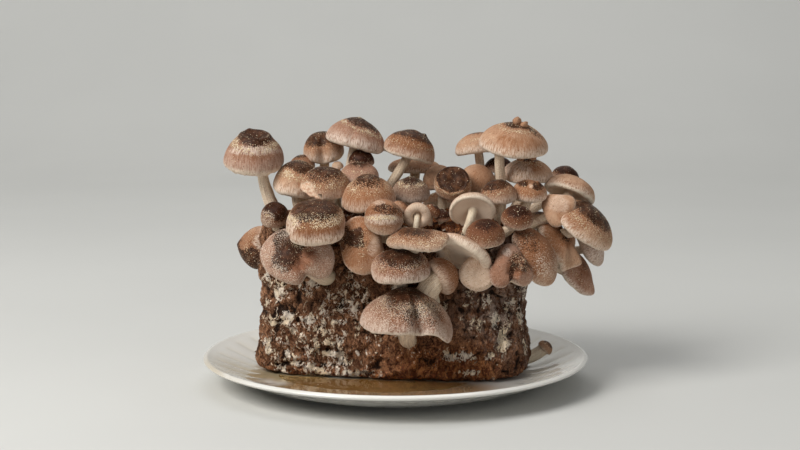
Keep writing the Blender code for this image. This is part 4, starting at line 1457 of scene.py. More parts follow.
# Front to back: name, cap, stem, coat and, on two of them, small growths. A stem's foot is a point
# near the place where it is rooted.
MUSHROOMS = (
    Mushroom("front_low", Cap((8, -64, 58), 30.5, 20, 6, -60, fullness=1.6, edge=0.09, lobes=(2, 0.05, 60),
        cleft=(-9, 11, 0.34), bend=0.1, bumps=((190, 0.35, 0.25, 0.05), (-60, 0.5, 0.2, -0.04),
        (-30, 0.75, 0.16, 0.04)), droops=((38, 26, 0.34),), ragged=0.025), Stem((11, -36, 36), (6, 6)),
        Coat(Tone.PINK, 0.26, 0.4, flecks=(0.5, 0.25, 0.7), frost=0.9, tufts=420,
        patches=spots(blush=((0.4, 0.0, 0.5), (-0.1, 0.3, 0.8, 1.0, 0.7), (0.0, 0.0, 0.5, 0.8)),
        dark=((0.1, 0.05, 0.2, 0.42), (-0.1, 0.5, 0.5, 0.44), (0.5, 0.15, 0.34, 0.42))))),
    Mushroom("frosted_middle", Cap((3.5, -61, 91.5), 20.5, 13, 13, -95, fullness=2.6, edge=0.22,
        wave=(3, 0.07, 10)), Stem((5, -34, 76), (4.2, 4.6)),
        Coat(Tone.PINK, 0.44, 0.28, flecks=(0.62, 0.2, 0.7), frost=0.85, pale=0.8, tufts=220,
        patches=spots(blush=((0.3, 0.0, 0.8, 0.9), (-0.2, 0.3, 0.6, 0.7)),
        dark=((0.2, 0.25, 0.6, 0.42, 0.5),)))),
    Mushroom("rolled_cream", Cap((31.5, -56, 85.5), 13.5, 12, 62, 20, edge=0.3, curl=130, hollow=0.15,
        gills=0.4), Stem((25, -42, 66), (7.2, 10), pull=0.5),
        Coat(Tone.TAN, 0.2, flecks=(0.5, 0.2, 0.5), frost=0.5, pale=0.35, rim=0.3, tufts=120,
        patches=spots(blush=((0.1, 0.2, 1.3),)))),
    Mushroom("pale_low", Cap((57, -57, 88), 12.2, 4.5, 76, -84, knob=-0.12, oval=1.08,
        ridges=((0.8, 0.12, 0.08),)), Stem((60, -42, 80), (3, 4)),
        Coat(Tone.CREAM, -0.4, 0.05, flecks=(0.6, 0.2, 0.0), frost=0.0, wrinkle=0.0, tufts=0,
        patches=spots(pale=((0.0, -0.1, 1.2, 0.35),), blush=((-0.1, 0.5, 0.8, 0.5, 0.5),)))),
    Mushroom("twisted", Cap((46.5, -53, 101.5), 20.5, 8, 43, 52, curl=150, hollow=0.2, oval=1.08,
        gills=0.12), Stem((34, -39, 92), (3, 4), (0.0, 0.75), 0.15),
        Coat(Tone.LIGHT, 0.3, 0.15, frost=0.9, pale=0.9, tufts=120)),
    Mushroom("curled_bud", Cap((15.3, -44, 126.5), 9.4, 9, 78, 92, edge=0.34, curl=140, hollow=0.25,
        gills=0.2), Stem((14, -36, 104), (1.8, 3.0), pull=0.5),
        Coat(Tone.CREAM, 0.0, 0.1, flecks=(0.9, 0.12, 0.3), frost=0.4, pale=0.3, rim=0.3, tufts=40,
        patches=spots(blush=((0.0, 0.0, 1.3, 0.5),)))),
    Mushroom("long_shelf", Cap((15, -67, 113), 15, 7, 14, -124, edge=0.24, oval=1.6, wave=(3, 0.1, 0),
        ragged=0.04), Stem((8, -38, 106)),
        Coat(Tone.TAN, 0.35, 0.3, flecks=(0.7, 0.4, 0.8), frost=0.7, pale=0.5, tufts=300,
        patches=spots(blush=((0.0, 0.3, 0.9, 0.7, 0.4),)))),
    Mushroom("red_brown", Cap((62, -56, 114), 14.2, 11, 22, -85, edge=0.16),
        Stem((60, -42, 108), (3.0, 4.4)),
        Coat(Tone.BROWN, 0.35, 0.25, flecks=(0.75, 0.2, 0.5), frost=0.3)),
    # round_banded: the small pale spot high on the left of its cap is a painted highlight.
    Mushroom("round_banded", Cap((-7.5, -52, 125), 13.4, 13.5, 40, -92, fullness=2.4, edge=0.3,
        ridges=((0.45, 0.14, 0.06),)), Stem((-8, -34, 114), (3.6, 4.4)),
        Coat(Tone.TAN, 0.0, 0.1, flecks=(0.95, 0.1, 0.6), frost=0.6, rim=1.0, tufts=260,
        patches=spots(blush=((0.0, 0.15, 1.2, 1.0, 0.45), (0.1, 0.42, 1.0, 1.0, 0.34, -6)),
        dark=((0.2, 0.5, 0.8, 0.6, 0.36, -6),), pale=((-0.25, 0.85, 0.3, 0.6, 0.5),
        (0.0, 0.0, 1.0, 1.0, 0.3)), flecks=((0.0, 0.08, 1.0, 1.0, 0.16),)))),
    Mushroom("broad_left", Cap((-55, -50, 119.5), 21.5, 17.5, 21, -92, fullness=2.8, edge=0.24, curl=95,
        lobes=(4, 0.06, 45), cleft=(-66, 11, 0.26), bumps=((0, 0.6, 0.3, 0.05),)),
        Stem((-52, -24, 112), (4.4, 5.4)),
        Coat(Tone.TAN, 0.42, 0.16, lean=(90, 0.14), flecks=(0.6, 0.12, 1.3), frost=0.25, pale=1.2,
        tufts=420, patches=spots(blush=((0.1, -0.12, 0.8, 1.0, 0.42), (0.0, -0.1, 0.5, 0.9, 0.6)),
        pale=((-0.85, 0.1, 0.35, 0.9),), flecks=((0.1, 0.3, 1.0, 0.6, 0.2),)))),
    Mushroom("lobed_left", Cap((-68, -46, 98), 23, 8, 68, -96, edge=0.14, lobes=(2, 0.14, 76),
        cleft=(28, 16, 0.42), bumps=((190, 0.42, 0.2, 0.3), (150, 0.55, 0.2, 0.16), (240, 0.6, 0.14, -0.1),
        (105, 0.45, 0.12, -0.16), (60, 0.55, 0.24, 0.2), (15, 0.3, 0.16, -0.16))),
        Stem((-52, -26, 82), (5.5, 6.5)),
        Coat(Tone.PINK, 0.1, 0.1, flecks=(0.5, 0.25, 0.3), frost=1.0, wrinkle=0.7, tufts=160,
        patches=spots(blush=((-0.1, -0.1, 0.7, 0.6), (0.1, 0.3, 0.6, 0.4, 0.3, -20)),
        dark=((-0.25, 0.45, 0.55, 1.1, 0.75, -24), (-0.42, -0.1, 0.38, 0.85, 1.2),
        (0.3, 0.6, 0.4, 0.6, 0.4)), flecks=((0.1, 0.3, 0.4, 0.6, 0.3, -20),)))),
    Mushroom("brown_face", Cap((-23.5, -47, 106), 18, 9, 70, -95, edge=0.16, lobes=(2, 0.18, 12),
        bumps=((170, 0.5, 0.3, 0.1), (10, 0.5, 0.3, 0.06), (250, 0.6, 0.22, -0.14), (90, 0.3, 0.16, 0.08),
        (200, 0.3, 0.14, -0.12))), Stem((-20, -30, 100), (3.6, 4.6)),
        Coat(Tone.LIGHT, 0.1, 0.1, flecks=(0.3, 0.1, 0.1), frost=0.5, pale=1.2, wrinkle=0.5, tufts=200,
        patches=spots(flecks=((0.1, 0.1, 0.6, 0.4, 0.4, 80),), dark=((-0.24, 0.3, 0.42, 1.0, 0.7, 60),
        (-0.75, 0.2, 0.55, 0.8, 0.4, 70)), blush=((-0.3, 0.0, 0.9, 0.9, 0.6, 80), (-0.1, -0.3, 0.7, 0.8),
        (0.0, 0.8, 0.5)), pale=((0.5, 0.0, 0.4, 0.5, 0.5, 70),)))),
    Mushroom("gnarled", Cap((79.4, -58, 91.3), 15.6, 9, 66, -82, oval=0.9, lobes=(3, 0.16, 60),
        cleft=(6, 20, 0.44), bumps=((60, 0.5, 0.22, 0.3), (110, 0.7, 0.18, 0.24), (20, 0.7, 0.2, 0.26),
        (75, 0.9, 0.16, 0.2), (250, 0.45, 0.34, 0.2), (85, 0.3, 0.1, -0.2), (40, 0.35, 0.1, -0.16),
        (330, 0.3, 0.14, -0.2))), Stem((76, -42, 90), (3.6, 4.4)),
        Coat(Tone.PINK, -0.4, 0.1, flecks=(0.5, 0.4, 0.0), frost=0.5, pale=0.8, wrinkle=0.6, tufts=0,
        patches=spots(blush=((-0.3, 0.1, 0.9, 0.6), (0.45, 0.2, 0.6)), pale=((-0.15, 0.75, 0.22, 0.8),),
        wrinkle=((0.45, 0.3, 0.4, 0.8),), flecks=((0.45, 0.3, 0.5, 0.55, 1.3, 50),),
        dark=((0.45, 0.3, 0.5, 0.48, 1.3, 50), (0.05, -0.1, 0.12, 0.8, 4.0, -10))))),
    Mushroom("big_drooping", Cap((97, -40.5, 97), 22.5, 14, 57, -40, fullness=1.7, edge=0.12, oval=0.78,
        droops=((0, 22, -0.08),)), Stem((84, -34, 100), (3.6, 4.6)),
        Coat(Tone.TAN, -0.4, flecks=(0.5, 0.3, 0.2), frost=0.5, pale=0.8, tufts=200,
        patches=spots(blush=((-0.35, 0.2, 0.9, 1.2), (0.1, 0.3, 0.6, 0.9)),
        dark=((-0.2, 0.5, 0.5, 0.38, 0.7, -30),), frost=((0.5, -0.2, 0.6, 0.5),)))),
    Mushroom("open_gills", Cap((54, -37, 129), 15.8, 9, 52, 88, edge=0.1, hollow=0.15, oval=1.02,
        gills=0.45), Stem((55, -36, 114), (2.8, 3.4)),
        Coat(Tone.CREAM, 0.3, frost=0.2)),
    Mushroom("dark_front_right", Cap((85, -44, 124.5), 11.2, 9, 30, -85, edge=0.3, knob=0.08,
        bumps=((90, 0.5, 0.3, 0.08),)), Stem((80, -32, 112), (3.0, 4.4)),
        Coat(Tone.BROWN, soft=0.25, flecks=(0.8, 0.12, 0.5), frost=0.3, tufts=90)),
    Mushroom("dome_middle", Cap((-19, -24, 136), 19.4, 17.5, 15, -105, fullness=1.45,
        ridges=((0.3, 0.14, 0.06),), droops=((-30, 30, 0.08),)), Stem((-16, -18, 114), (4, 5)),
        Coat(Tone.LIGHT, 0.4, 0.22, flecks=(0.55, 0.16, 0.9), frost=0.4, pale=0.8, tufts=220,
        patches=spots(blush=((0.0, 0.0, 1.2, 0.75, 0.5),)))),
    Mushroom("torn", Cap((-50, -15, 142.5), 17.5, 15, 15, -80, fullness=2.2, edge=0.14,
        cleft=(-50, 28, 0.26), bumps=((-60, 0.75, 0.2, -0.12),), ragged=0.06),
        Stem((-44, -8, 114), (3.6, 4.6)),
        Coat(Tone.TAN, 0.46, 0.3, flecks=(0.66, 0.2, 0.95), frost=0.25, tufts=300,
        patches=spots(torn=((-0.72, -0.1, 0.36), (-0.42, -0.5, 0.3)), dark=((-0.2, -0.35, 0.12),)))),
    Mushroom("dark_button", Cap((-86, -14, 121), 10.4, 12, 28, -95, fullness=2.4, edge=0.3,
        bumps=((60, 0.5, 0.3, 0.1),)), Stem((-82, -6, 108), (4, 5)),
        Coat(Tone.BROWN, soft=0.3, flecks=(0.9, 0.2, 0.45), frost=0.5, pale=0.5, rim=0.2, wrinkle=0.5,
        tufts=40, patches=spots(dark=((0.35, 0.35, 0.6, 0.8),), frost=((-0.5, 0.0, 0.6, 1.3),),
        flecks=((-0.45, 0.2, 0.2, 0.9),)))),
    Mushroom("left_dome", Cap((-72, 5, 141), 17.5, 20, 14, -30, edge=0.24), Stem((-66, 6, 114), (3.8, 5)),
        Coat(Tone.LIGHT, 0.42, 0.12, lean=(60, 0.1), flecks=(0.6, 0.16, 1.3), pale=1.0, tufts=380)),
    Mushroom("tall_left", Cap((-101.5, 5, 160.5), 21.3, 22.5, 12, -80, fullness=1.5, edge=0.31, curl=95,
        knob=-0.3, ridges=((0.5, 0.1, 0.1),), bumps=((200, 0.5, 0.12, 0.06),), ragged=0.04),
        Stem((-86, 8, 113), (3.4, 6.2), (0.0, 0.2)),
        Coat(Tone.PINK, 0.53, 0.06, lean=(270, 0.06), flecks=(0.62, 0.1, 1.3), frost=0.35, pale=0.4,
        rim=0.8, tufts=320, patches=spots(blush=((0.1, -0.05, 0.9, 0.25, 0.4),),
        pale=((0.0, 0.3, 0.9, 0.8, 0.16),)))),
    Mushroom("shrivelled", Cap((-99, 22, 94), 15, 18, 80, 185, fullness=1.3, lobes=(3, 0.14, 40),
        wave=(2, 0.1, 0)), Stem((-88, 24, 92), (5, 6)),
        Coat(Tone.TAN, 0.3, flecks=(0.7, 0.3, 0.6), wrinkle=1.0, patches=spots(dark=((-0.5, -0.6, 0.7, 0.8),
        (0.5, 0.0, 0.4, 0.5)), pale=((0.0, 0.35, 0.35, 0.9),), blush=((0.2, 0.0, 0.9, 0.9),)))),
    Mushroom("small_middle", Cap((11, 0, 137), 14, 12.5, 16, -90, fullness=1.5, edge=0.26, knob=0.08),
        Stem((12, 2, 114), (3.2, 4.4)),
        Coat(Tone.GREY, 0.4, 0.1, flecks=(0.5, 0.14, 1.1), frost=0.6, pale=1.0, tufts=160)),
    Mushroom("pale_middle", Cap((-26, 1, 149), 14, 10.5, 8, -90), Stem((-26, 8, 114), (3, 4)),
        Coat(Tone.PINK, 0.3, frost=0.3, tufts=100)),
    Mushroom("dark_middle", Cap((-25, 17, 158), 9.6, 9.5, 6, -90), Stem((-12, 14, 114), (2.6, 3.6)),
        Coat(Tone.BROWN, 0.9, flecks=(0.9, 0.2, 0.4), tufts=50)),
    Mushroom("pale_stub", Cap((-42, 10, 155), 4.4, 4.4, 10, 180, edge=0.3),
        Stem((-40, 12, 114), (1.8, 2.6)),
        Coat(Tone.CREAM, 0.2, tufts=20)),
    Mushroom("top_centre", Cap((-29.5, 26, 173), 21.8, 18.5, 12, -10, fullness=1.2, edge=0.16, knob=-0.03,
        cleft=(-88, 9, 0.06), droops=((-20, 30, 0.12),)), Stem((-34, 34, 114), (3.2, 4.6)),
        Coat(Tone.PINK, soft=0.07, lean=(340, 0.1), flecks=(0.6, 0.08, 1.2), frost=0.5, pale=1.2,
        tufts=300)),
    Mushroom("cleft_back", Cap((-53, 40, 163), 15.5, 16, 16, -110, fullness=2.2, edge=0.26,
        cleft=(18, 16, 0.3)), Stem((-52, 42, 114), (3.4, 4.6)),
        Coat(Tone.LIGHT, soft=0.14, lean=(130, 0.14), flecks=(0.66, 0.1, 0.6), pale=1.2, tufts=140)),
    Mushroom("hidden_left", Cap((-69, 34, 153), 9.5, 9, 5, 180, edge=0.24),
        Stem((-66, 36, 114), (2.6, 3.6)),
        Coat(Tone.TAN, 0.4, tufts=50)),
    Mushroom("peaked", Cap((9.5, 24, 163.5), 19.6, 17.5, 16, 8, fullness=2.1, edge=0.14, knob=0.04,
        bumps=((0, 0.42, 0.1, 0.08),)), Stem((-10, 24, 114), (3.4, 4.2)),
        Coat(Tone.TAN, 0.47, 0.14, lean=(80, 0.12), flecks=(0.66, 0.12, 0.9), rim=1.0, tufts=300,
        patches=spots(blush=((0.1, 0.3, 0.9, 0.8, 0.5),)))),
    Mushroom("wide_back", Cap((15, 62, 148), 20, 9, 6, 60, edge=0.14), Stem((10, 54, 114), (3.6, 4.8)),
        Coat(Tone.TAN, 0.1, pale=1.0, tufts=120)),
    Mushroom("cup_face", Cap((42, 18, 142), 14, 8, 56, -92, edge=0.26, knob=-0.2,
        ridges=((0.8, 0.1, 0.12),), ragged=0.04), Stem((44, 24, 114), (3, 4)),
        Coat(Tone.LIGHT, 0.62, 0.05, lean=(270, -0.18), flecks=(0.74, 0.09, 1.1), frost=0.0, pale=1.3,
        wrinkle=0.3, tufts=70)),
    Mushroom("grey_back", Cap((31, 36, 144), 11.5, 9, 40, -140), Stem((34, 44, 114), (2.8, 3.8)),
        Coat(Tone.LIGHT, -0.4, 0.1, flecks=(0.6, 0.2, 0.0), frost=0.0, pale=0.6, tufts=0,
        patches=spots(blush=((0.0, -0.4, 0.9, 0.5, 0.6),)))),
    Mushroom("brown_back", Cap((61, 38, 143), 13, 10, 35, -60), Stem((56, 42, 114), (2.8, 3.8)),
        Coat(Tone.LIGHT, -0.3, flecks=(0.6, 0.2, 0.0), frost=0.0, pale=0.6, tufts=0,
        patches=spots(blush=((0.2, 0.2, 0.7, 0.6),)))),
    Mushroom("small_right", Cap((73, -24, 138), 12.8, 12, 10, -100, fullness=1.9, edge=0.26),
        Stem((74, -22, 114), (2.6, 3.4)),
        Coat(Tone.TAN, soft=0.16, lean=(160, 0.2), flecks=(0.7, 0.16, 0.8), pale=0.9, tufts=120)),
    Mushroom("scarred", Cap((95, -16, 138.5), 12.8, 10, 14, -80, edge=0.24, bumps=((-60, 0.4, 0.2, 0.16),
        (60, 0.5, 0.2, 0.16), (-90, 0.5, 0.12, -0.08))), Stem((86, -12, 113)),
        Coat(Tone.LIGHT, -0.3, flecks=(0.7, 0.2, 0.4), pale=1.0,
        patches=spots(dark=((-0.35, 0.6, 0.36, 0.9, 0.7), (0.45, 0.45, 0.36, 0.85, 0.8)),
        blush=((0.0, 0.3, 0.9),), torn=((0.05, 0.45, 0.14, 0.8),)))),
    Mushroom("broad_right", Cap((96, 14, 148.5), 18.5, 14, 8, -80, fullness=1.4, edge=0.13,
        bumps=((0, 0.3, 0.14, 0.08), (150, 0.35, 0.14, 0.07))), Stem((84, 8, 113), (3.6, 4.8)),
        Coat(Tone.LIGHT, 0.28, 0.08, lean=(45, 0.1), flecks=(0.38, 0.1, 0.9), pale=1.3, tufts=220,
        patches=spots(blush=((0.1, 0.3, 0.5, 0.7, 0.4),), pale=((-0.6, 0.1, 0.7, 1.1),))),
        (Nub((99, 4, 163), (3.0, 2.6, 2.0), 20), Nub((90, 2, 161.6), (2.4, 2.6, 1.4), 0))),
    Mushroom("tall_right", Cap((85, -2, 172.5), 24.8, 16.5, 13, -60, fullness=1.4, edge=0.13,
        bumps=((-20, 0.3, 0.2, 0.05), (-50, 0.25, 0.13, -0.06), (60, 0.2, 0.14, 0.06))),
        Stem((76, 8, 114), (3.4, 3.8), (0.0, -0.5)),
        Coat(Tone.LIGHT, 0.32, 0.06, flecks=(0.42, 0.07, 1.1), frost=0.2, pale=0.9, tufts=360,
        patches=spots(dark=((0.62, 0.3, 0.3, 0.5, 0.3, -40),), blush=((0.0, -0.05, 1.0, 0.6, 0.26),))),
        (Nub((86.5, -7, 189.6), (2.9, 2.6, 3.2), 20), Nub((91.5, -8, 187), (3.4, 3, 2.2), -30))),
    Mushroom("pale_behind", Cap((62, 52, 164), 17.8, 13, 8, 150, edge=0.14),
        Stem((68, 48, 114), (3.2, 4.2)),
        Coat(Tone.LIGHT, 0.2, frost=0.3, pale=1.2, tufts=100)),
    Mushroom("dark_back_right", Cap((78, 58, 148), 11.5, 10, 10, 0), Stem((76, 48, 113), (2.8, 3.8)),
        Coat(Tone.BROWN, 0.8)),
    Mushroom("back_dark_right", Cap((127, 54, 141), 11, 11, 18, 20), Stem((90, 36, 110), (3, 4.2)),
        Coat(Tone.BROWN, 0.75, flecks=(0.9, 0.15, 0.6), tufts=80)),
    Mushroom("shelf_right", Cap((126, 6, 137), 19, 12, 29, 44, edge=0.14, hollow=0.1), Stem((93, 8, 108)),
        Coat(Tone.LIGHT, 0.1, flecks=(0.3, 0.2, 0.5), rim=1.0, tufts=100,
        patches=spots(blush=((0.0, 0.15, 1.0, 0.7, 0.3, -14),),
        pale=((0.1, -0.16, 0.85, 1.0, 0.14, -16),)))),
    Mushroom("pale_lobed", Cap((115.5, -20.5, 128.5), 12, 6, 66, -110, lobes=(3, 0.12, 0), gills=0.3),
        Stem((94, -12, 112), (3, 3.8), pull=0.5),
        Coat(Tone.LIGHT, -0.4, 0.1, flecks=(0.6, 0.2, 0.0), frost=0.0, pale=1.0, tufts=0,
        patches=spots(pale=((0.0, 0.3, 0.6, 0.5),), blush=((0.3, -0.2, 0.6, 0.6),)))),
    Mushroom("far_right", Cap((135, -14, 115.5), 23, 14.5, 41, -32, fullness=1.55, edge=0.13,
        lobes=(3, 0.05, 10), bumps=((200, 0.55, 0.16, -0.1),)), Stem((96, -4, 106), (3.6, 4.6)),
        Coat(Tone.LIGHT, 0.42, 0.16, lean=(50, 0.3), flecks=(0.66, 0.2, 0.9), frost=0.5, pale=1.0,
        tufts=400, patches=spots(blush=((-0.4, 0.3, 0.5, 0.9),)))),
    Mushroom("folded_right", Cap((117, -8, 101.5), 22, 9, 54, -38, edge=0.16, oval=0.74,
        lobes=(5, 0.06, 30), wave=(5, 0.14, 20), ragged=0.05), Stem((97, 4, 96)),
        Coat(Tone.LIGHT, 0.1, 0.3, lean=(130, 0.3), flecks=(0.8, 0.25, 0.5), frost=0.4, pale=1.1, tufts=160,
        patches=spots(blush=((-0.3, 0.3, 0.7, 0.9),), dark=((0.2, 0.5, 0.4, 0.6, 0.4, -45),)))),
    Mushroom("flat_right", Cap((103, -4, 119), 8.5, 5, 14, -80, edge=0.24), Stem((95, -3, 110), (2.4, 3.2)),
        Coat(Tone.CREAM, 0.2, tufts=30)),
    Mushroom("grey_under", Cap((142, 18, 95), 15.4, 9, 60, -15, lobes=(4, 0.06, 20)),
        Stem((98, 24, 96), (3, 4)),
        Coat(Tone.PINK, -0.4, 0.1, flecks=(0.6, 0.2, 0.0), frost=1.0, pale=1.0, tufts=50,
        patches=spots(pale=((0.0, 0.0, 1.6),)))),
    Mushroom("hanging_right", Cap((131, 4, 79.5), 19.5, 9, 58, -30, fullness=1.6, edge=0.16, oval=0.85,
        lobes=(4, 0.07, 0), bumps=((150, 0.5, 0.2, -0.1),), droops=((0, 20, -0.16),)), Stem((97, 6, 96)),
        Coat(Tone.PINK, 0.1, 0.3, frost=0.25, pale=1.1, patches=spots(blush=((-0.2, 0.0, 0.6, 0.35),
        (0.3, -0.3, 0.4, 0.4))))),
    Mushroom("pin_low_right", Cap((110, 14, 20.5), 6, 5.5, 44, 0, edge=0.26),
        Stem((98, 11, 10), (4.2, 6.0)),
        Coat(Tone.CREAM, pale=0.2, tufts=30, patches=spots(blush=((0.0, 0.0, 1.5),)))),
    Mushroom("tucked_middle", Cap((4, -36, 131), 6.5, 5, 30, 0, edge=0.24), Stem((4, -30, 114), (2, 2.6)),
        Coat(Tone.TAN, 0.4, tufts=20)),
    Mushroom("tucked_bud", Cap((26, -32, 128), 6, 5, 40, -30, edge=0.3), Stem((26, -28, 114), (2, 2.6)),
        Coat(Tone.BROWN, 0.3, tufts=20)),
    Mushroom("dark_pin", Cap((33, -30, 124), 6, 5, 20, -90, edge=0.3), Stem((33, -28, 114), (2, 2.6)),
        Coat(Tone.BROWN, 0.8, tufts=20)),
    Mushroom("rear_left_high", Cap((-58, 88, 122), 16, 13, 24, 105), Stem((-54, 66, 108), (3.4, 4.6)),
        Coat(Tone.TAN, soft=0.16, flecks=(0.68, 0.14, 0.9), tufts=160)),
    Mushroom("rear_left_low", Cap((-64, 98, 62), 13, 9, 40, 100, edge=0.24), Stem((-60, 70, 56)),
        Coat(Tone.PINK, 0.4, 0.16, frost=0.5, tufts=120)),
    Mushroom("rear_middle", Cap((-10, 96, 82), 20, 14, 20, 85, lobes=(3, 0.06, 20)),
        Stem((-6, 68, 70), (4, 5)),
        Coat(Tone.TAN, 0.42, 0.16, flecks=(0.6, 0.16, 0.8), frost=0.4, tufts=220)),
    Mushroom("rear_right_high", Cap((36, 88, 116), 15, 12, 26, 80), Stem((34, 64, 106), (3.4, 4.6)),
        Coat(Tone.ORANGE, 0.45, 0.16, flecks=(0.62, 0.14, 0.9), tufts=140)),
    Mushroom("rear_right_low", Cap((64, 80, 60), 11, 10, 34, 75, edge=0.26), Stem((60, 58, 52), (3.2, 4.2)),
        Coat(Tone.PINK, soft=0.16, frost=0.4, tufts=100)),
)


# --- The plate and its water -----------------------------------------------------------------

@dataclass(frozen=True)
class DinnerPlate:
    """A glazed plate with a faint wreath of petals pressed into its rim."""

    radius: float = 140.0
    lip_height: float = 21.0
    lip_width: float = 6.0
    shoulder: tuple[float, float] = (13.0, 4.5)
    thickness: float = 4.5
    foot_radius: float = 86.0
    foot_width: float = 7.0
    well_height: float = 6.5
    well_radius: float = 101.0
    petals: int = 40
    petal_depth: float = 0.55
    columns: int = 480

    def profile(self) -> Numbers:
        """The section from the middle of the well to the middle of the underside.

        Returns:
            Radii and heights, half a millimetre to two millimetres apart.
        """
        under = self.well_height - self.thickness
        inner_foot = self.foot_radius - self.foot_width
        corners = np.array((
            (0, self.well_height), (self.well_radius, self.well_height),
            (self.well_radius + self.shoulder[0], self.well_height + self.shoulder[1]),
            (self.radius - self.lip_width, self.lip_height - 1.6),
            (self.radius - 3, self.lip_height), (self.radius, self.lip_height - 1.8),
            (self.radius - 1.4, self.lip_height - 3.4), (self.well_radius + 24, 12.6),
            (self.well_radius + 6, self.well_height - 1.3), (self.foot_radius + 3, under + 0.2),
            (self.foot_radius, 0.0), (inner_foot, 0.0), (inner_foot - 2.5, under), (0, under)))
        lengths = np.linalg.norm(np.diff(corners, axis=0), axis=1)
        marks = np.concatenate([(0.0,), np.cumsum(lengths)])
        fine = np.arange(0, marks[-1], 0.25)
        line = np.stack([np.interp(fine, marks, corners[:, i]) for i in (0, 1)], 1)
        reach = np.interp(line[:, 0], (80, 104, 126, 132), (3.0, 5.0, 3.5, 0.8))
        soft = line.copy()
        for i in range(1, len(line) - 1):
            near = np.abs(fine - fine[i]) < 3 * reach[i]
            share = np.exp(-0.5 * ((fine[near] - fine[i]) / reach[i]) ** 2)
            if min(fine[i], fine[-1] - fine[i]) > 3 * reach[i]:
                soft[i] = share @ line[near] / share.sum()
        soft[:, 1] = np.where(line[:, 1] <= 0, 0, np.maximum(soft[:, 1], 0))
        bend = np.linalg.norm(np.gradient(np.gradient(soft, axis=0), axis=0), axis=1)
        density = np.cumsum(0.25 / 2.4 + 3.0 * np.sqrt(bend))
        rows = np.interp(np.arange(0, int(density[-1])), density, np.arange(len(fine)))
        picked = np.stack([np.interp(rows, np.arange(len(fine)), soft[:, i]) for i in (0, 1)], 1)
        return np.concatenate([picked, ((0.0, under),)])

    def build(self) -> Piece:
        """Model the plate.

        Returns:
            The finished piece.
        """
        section = self.profile()
        mesh = bpy.data.meshes.new("dinner_plate")
        points = [(reach * MM, 0, height * MM) for reach, height in section]
        mesh.from_pydata(points, [(i, i + 1) for i in range(len(points) - 1)], [])
        piece = stand("dinner_plate", mesh)
        turning = piece.modifiers.new("turning", "SCREW")
        turning.steps = turning.render_steps = self.columns
        turning.use_merge_vertices = True
        turning.merge_threshold = 1e-6
        turning.use_normal_calculate = True
        bpy.context.view_layer.objects.active = piece
        bpy.ops.object.modifier_apply(modifier=turning.name)
        places = read_points(piece.data) / MM
        reach, height = np.hypot(places[:, 0], places[:, 1]), places[:, 2].copy()
        angle = np.arctan2(places[:, 1], places[:, 0])
        upper = height > np.interp(reach, (0, self.well_radius, self.radius),
                                   (4, 4, self.lip_height - 3.2))
        start = self.well_radius - 14
        on_rim = upper * ramp(reach, start, start + 9) * ramp(
            reach, self.radius - self.lip_width - 2, self.radius - self.lip_width - 6)
        ridge = np.abs(np.cos(self.petals / 2 * angle)) ** 0.7
        tip = ramp(reach, start + 4 + 6 * (1 - ridge), start + 10 + 6 * (1 - ridge))
        height += self.petal_depth * on_rim * (ridge - 0.75) * tip
        x, y = reach * np.cos(angle), reach * np.sin(angle)
        write_points(piece.data, np.stack([x, y, height], 1))
        stain = upper * ramp(np.hypot((x + 70) / 62, (y + 36) / 50), 1.5, 0.6)
        steeped = upper * ramp(np.hypot((x + 10) / 86, (y + 58) / 36), 1.12, 0.72)
        paint(piece.data, groove=0.5 * on_rim * tip * (1 - ridge), stain=stain,
              steeped=0.9 * steeped)
        settle(piece, GLAZE, "plate")
        return piece


@dataclass(frozen=True)
class PooledWater:
    """Water that drained out of the block into the well of the plate."""

    depth: float = 1.1
    width: float = 38.0
    ends: tuple[float, float] = (-78.0, 61.0)
    floor: float = 6.44
    tip: float = 2.0
    gap: float = 0.4
    columns: int = 220
    rows: int = 30

    def shore(self, block: SawdustBlock, growing: Piece,
              along: Numbers) -> Numbers:
        """Where the block's foot stands in the water.

        Args:
            block: The block's sizes.
            growing: Its finished piece.
            along: Places along the block.

        Returns:
            How far to the back the water reaches at each, seen from the block's middle.
        """
        points = read_points(growing.data) / MM - PLATE_CENTRE
        length, back = block.axes()
        offset = points[:, :2] - np.array(block.centre)
        low = points[:, 2] < self.floor + self.depth + 0.5
        run, depth = (offset @ length)[low], (offset @ back)[low]
        marks = np.arange(self.ends[0] - 2, self.ends[1] + 4, 2.0)
        edge = np.array([depth[np.abs(run - mark) < 2.2].min() for mark in marks])
        return np.interp(along, marks, edge) - self.gap

    def build(self, block: SawdustBlock, growing: Piece) -> Piece:
        """Model the film between the block's front and the rim of the well.

        Args:
            block: The sizes of the block that it lies against.
            growing: The block's finished piece.

        Returns:
            The finished piece.
        """
        piece, row, column = blank("amber_water", self.columns, self.rows)
        angle = column / self.columns * TURN
        fall = row / self.rows * math.pi
        spread = np.sin(fall) ** 0.45
        corner = (np.abs(np.cos(angle)) ** 7 + np.abs(np.sin(angle)) ** 7) ** (-1 / 7)
        s, t = spread * corner * np.cos(angle), spread * corner * np.sin(angle)
        share = 0.5 + 0.5 * np.clip(s, -1, 1)
        run = self.ends[0] + (self.ends[1] - self.ends[0]) * share
        along, back = block.axes()
        inner = (np.array(block.centre) + run[:, None] * along
                 + self.shore(block, growing, run)[:, None] * back)
        width = self.tip + (self.width - self.tip) * np.sin(np.pi * share) ** 0.7
        width = width * (1 + 0.05 * np.sin(9 * share + 1) * (t < 0))
        across = (0.5 - 0.5 * np.clip(t, -1, 1))[:, None] * width[:, None]
        plan = inner - across * (back + 0.25 * (0.5 - share)[:, None] * along)
        level = np.cos(fall)
        height = self.floor + self.depth * np.maximum(level, 0) ** 2
        write_points(piece.data, np.column_stack([plan, height]))
        settle(piece, WATER, "pooled_water")
        return piece


# --- The studio ------------------------------------------------------------------------------

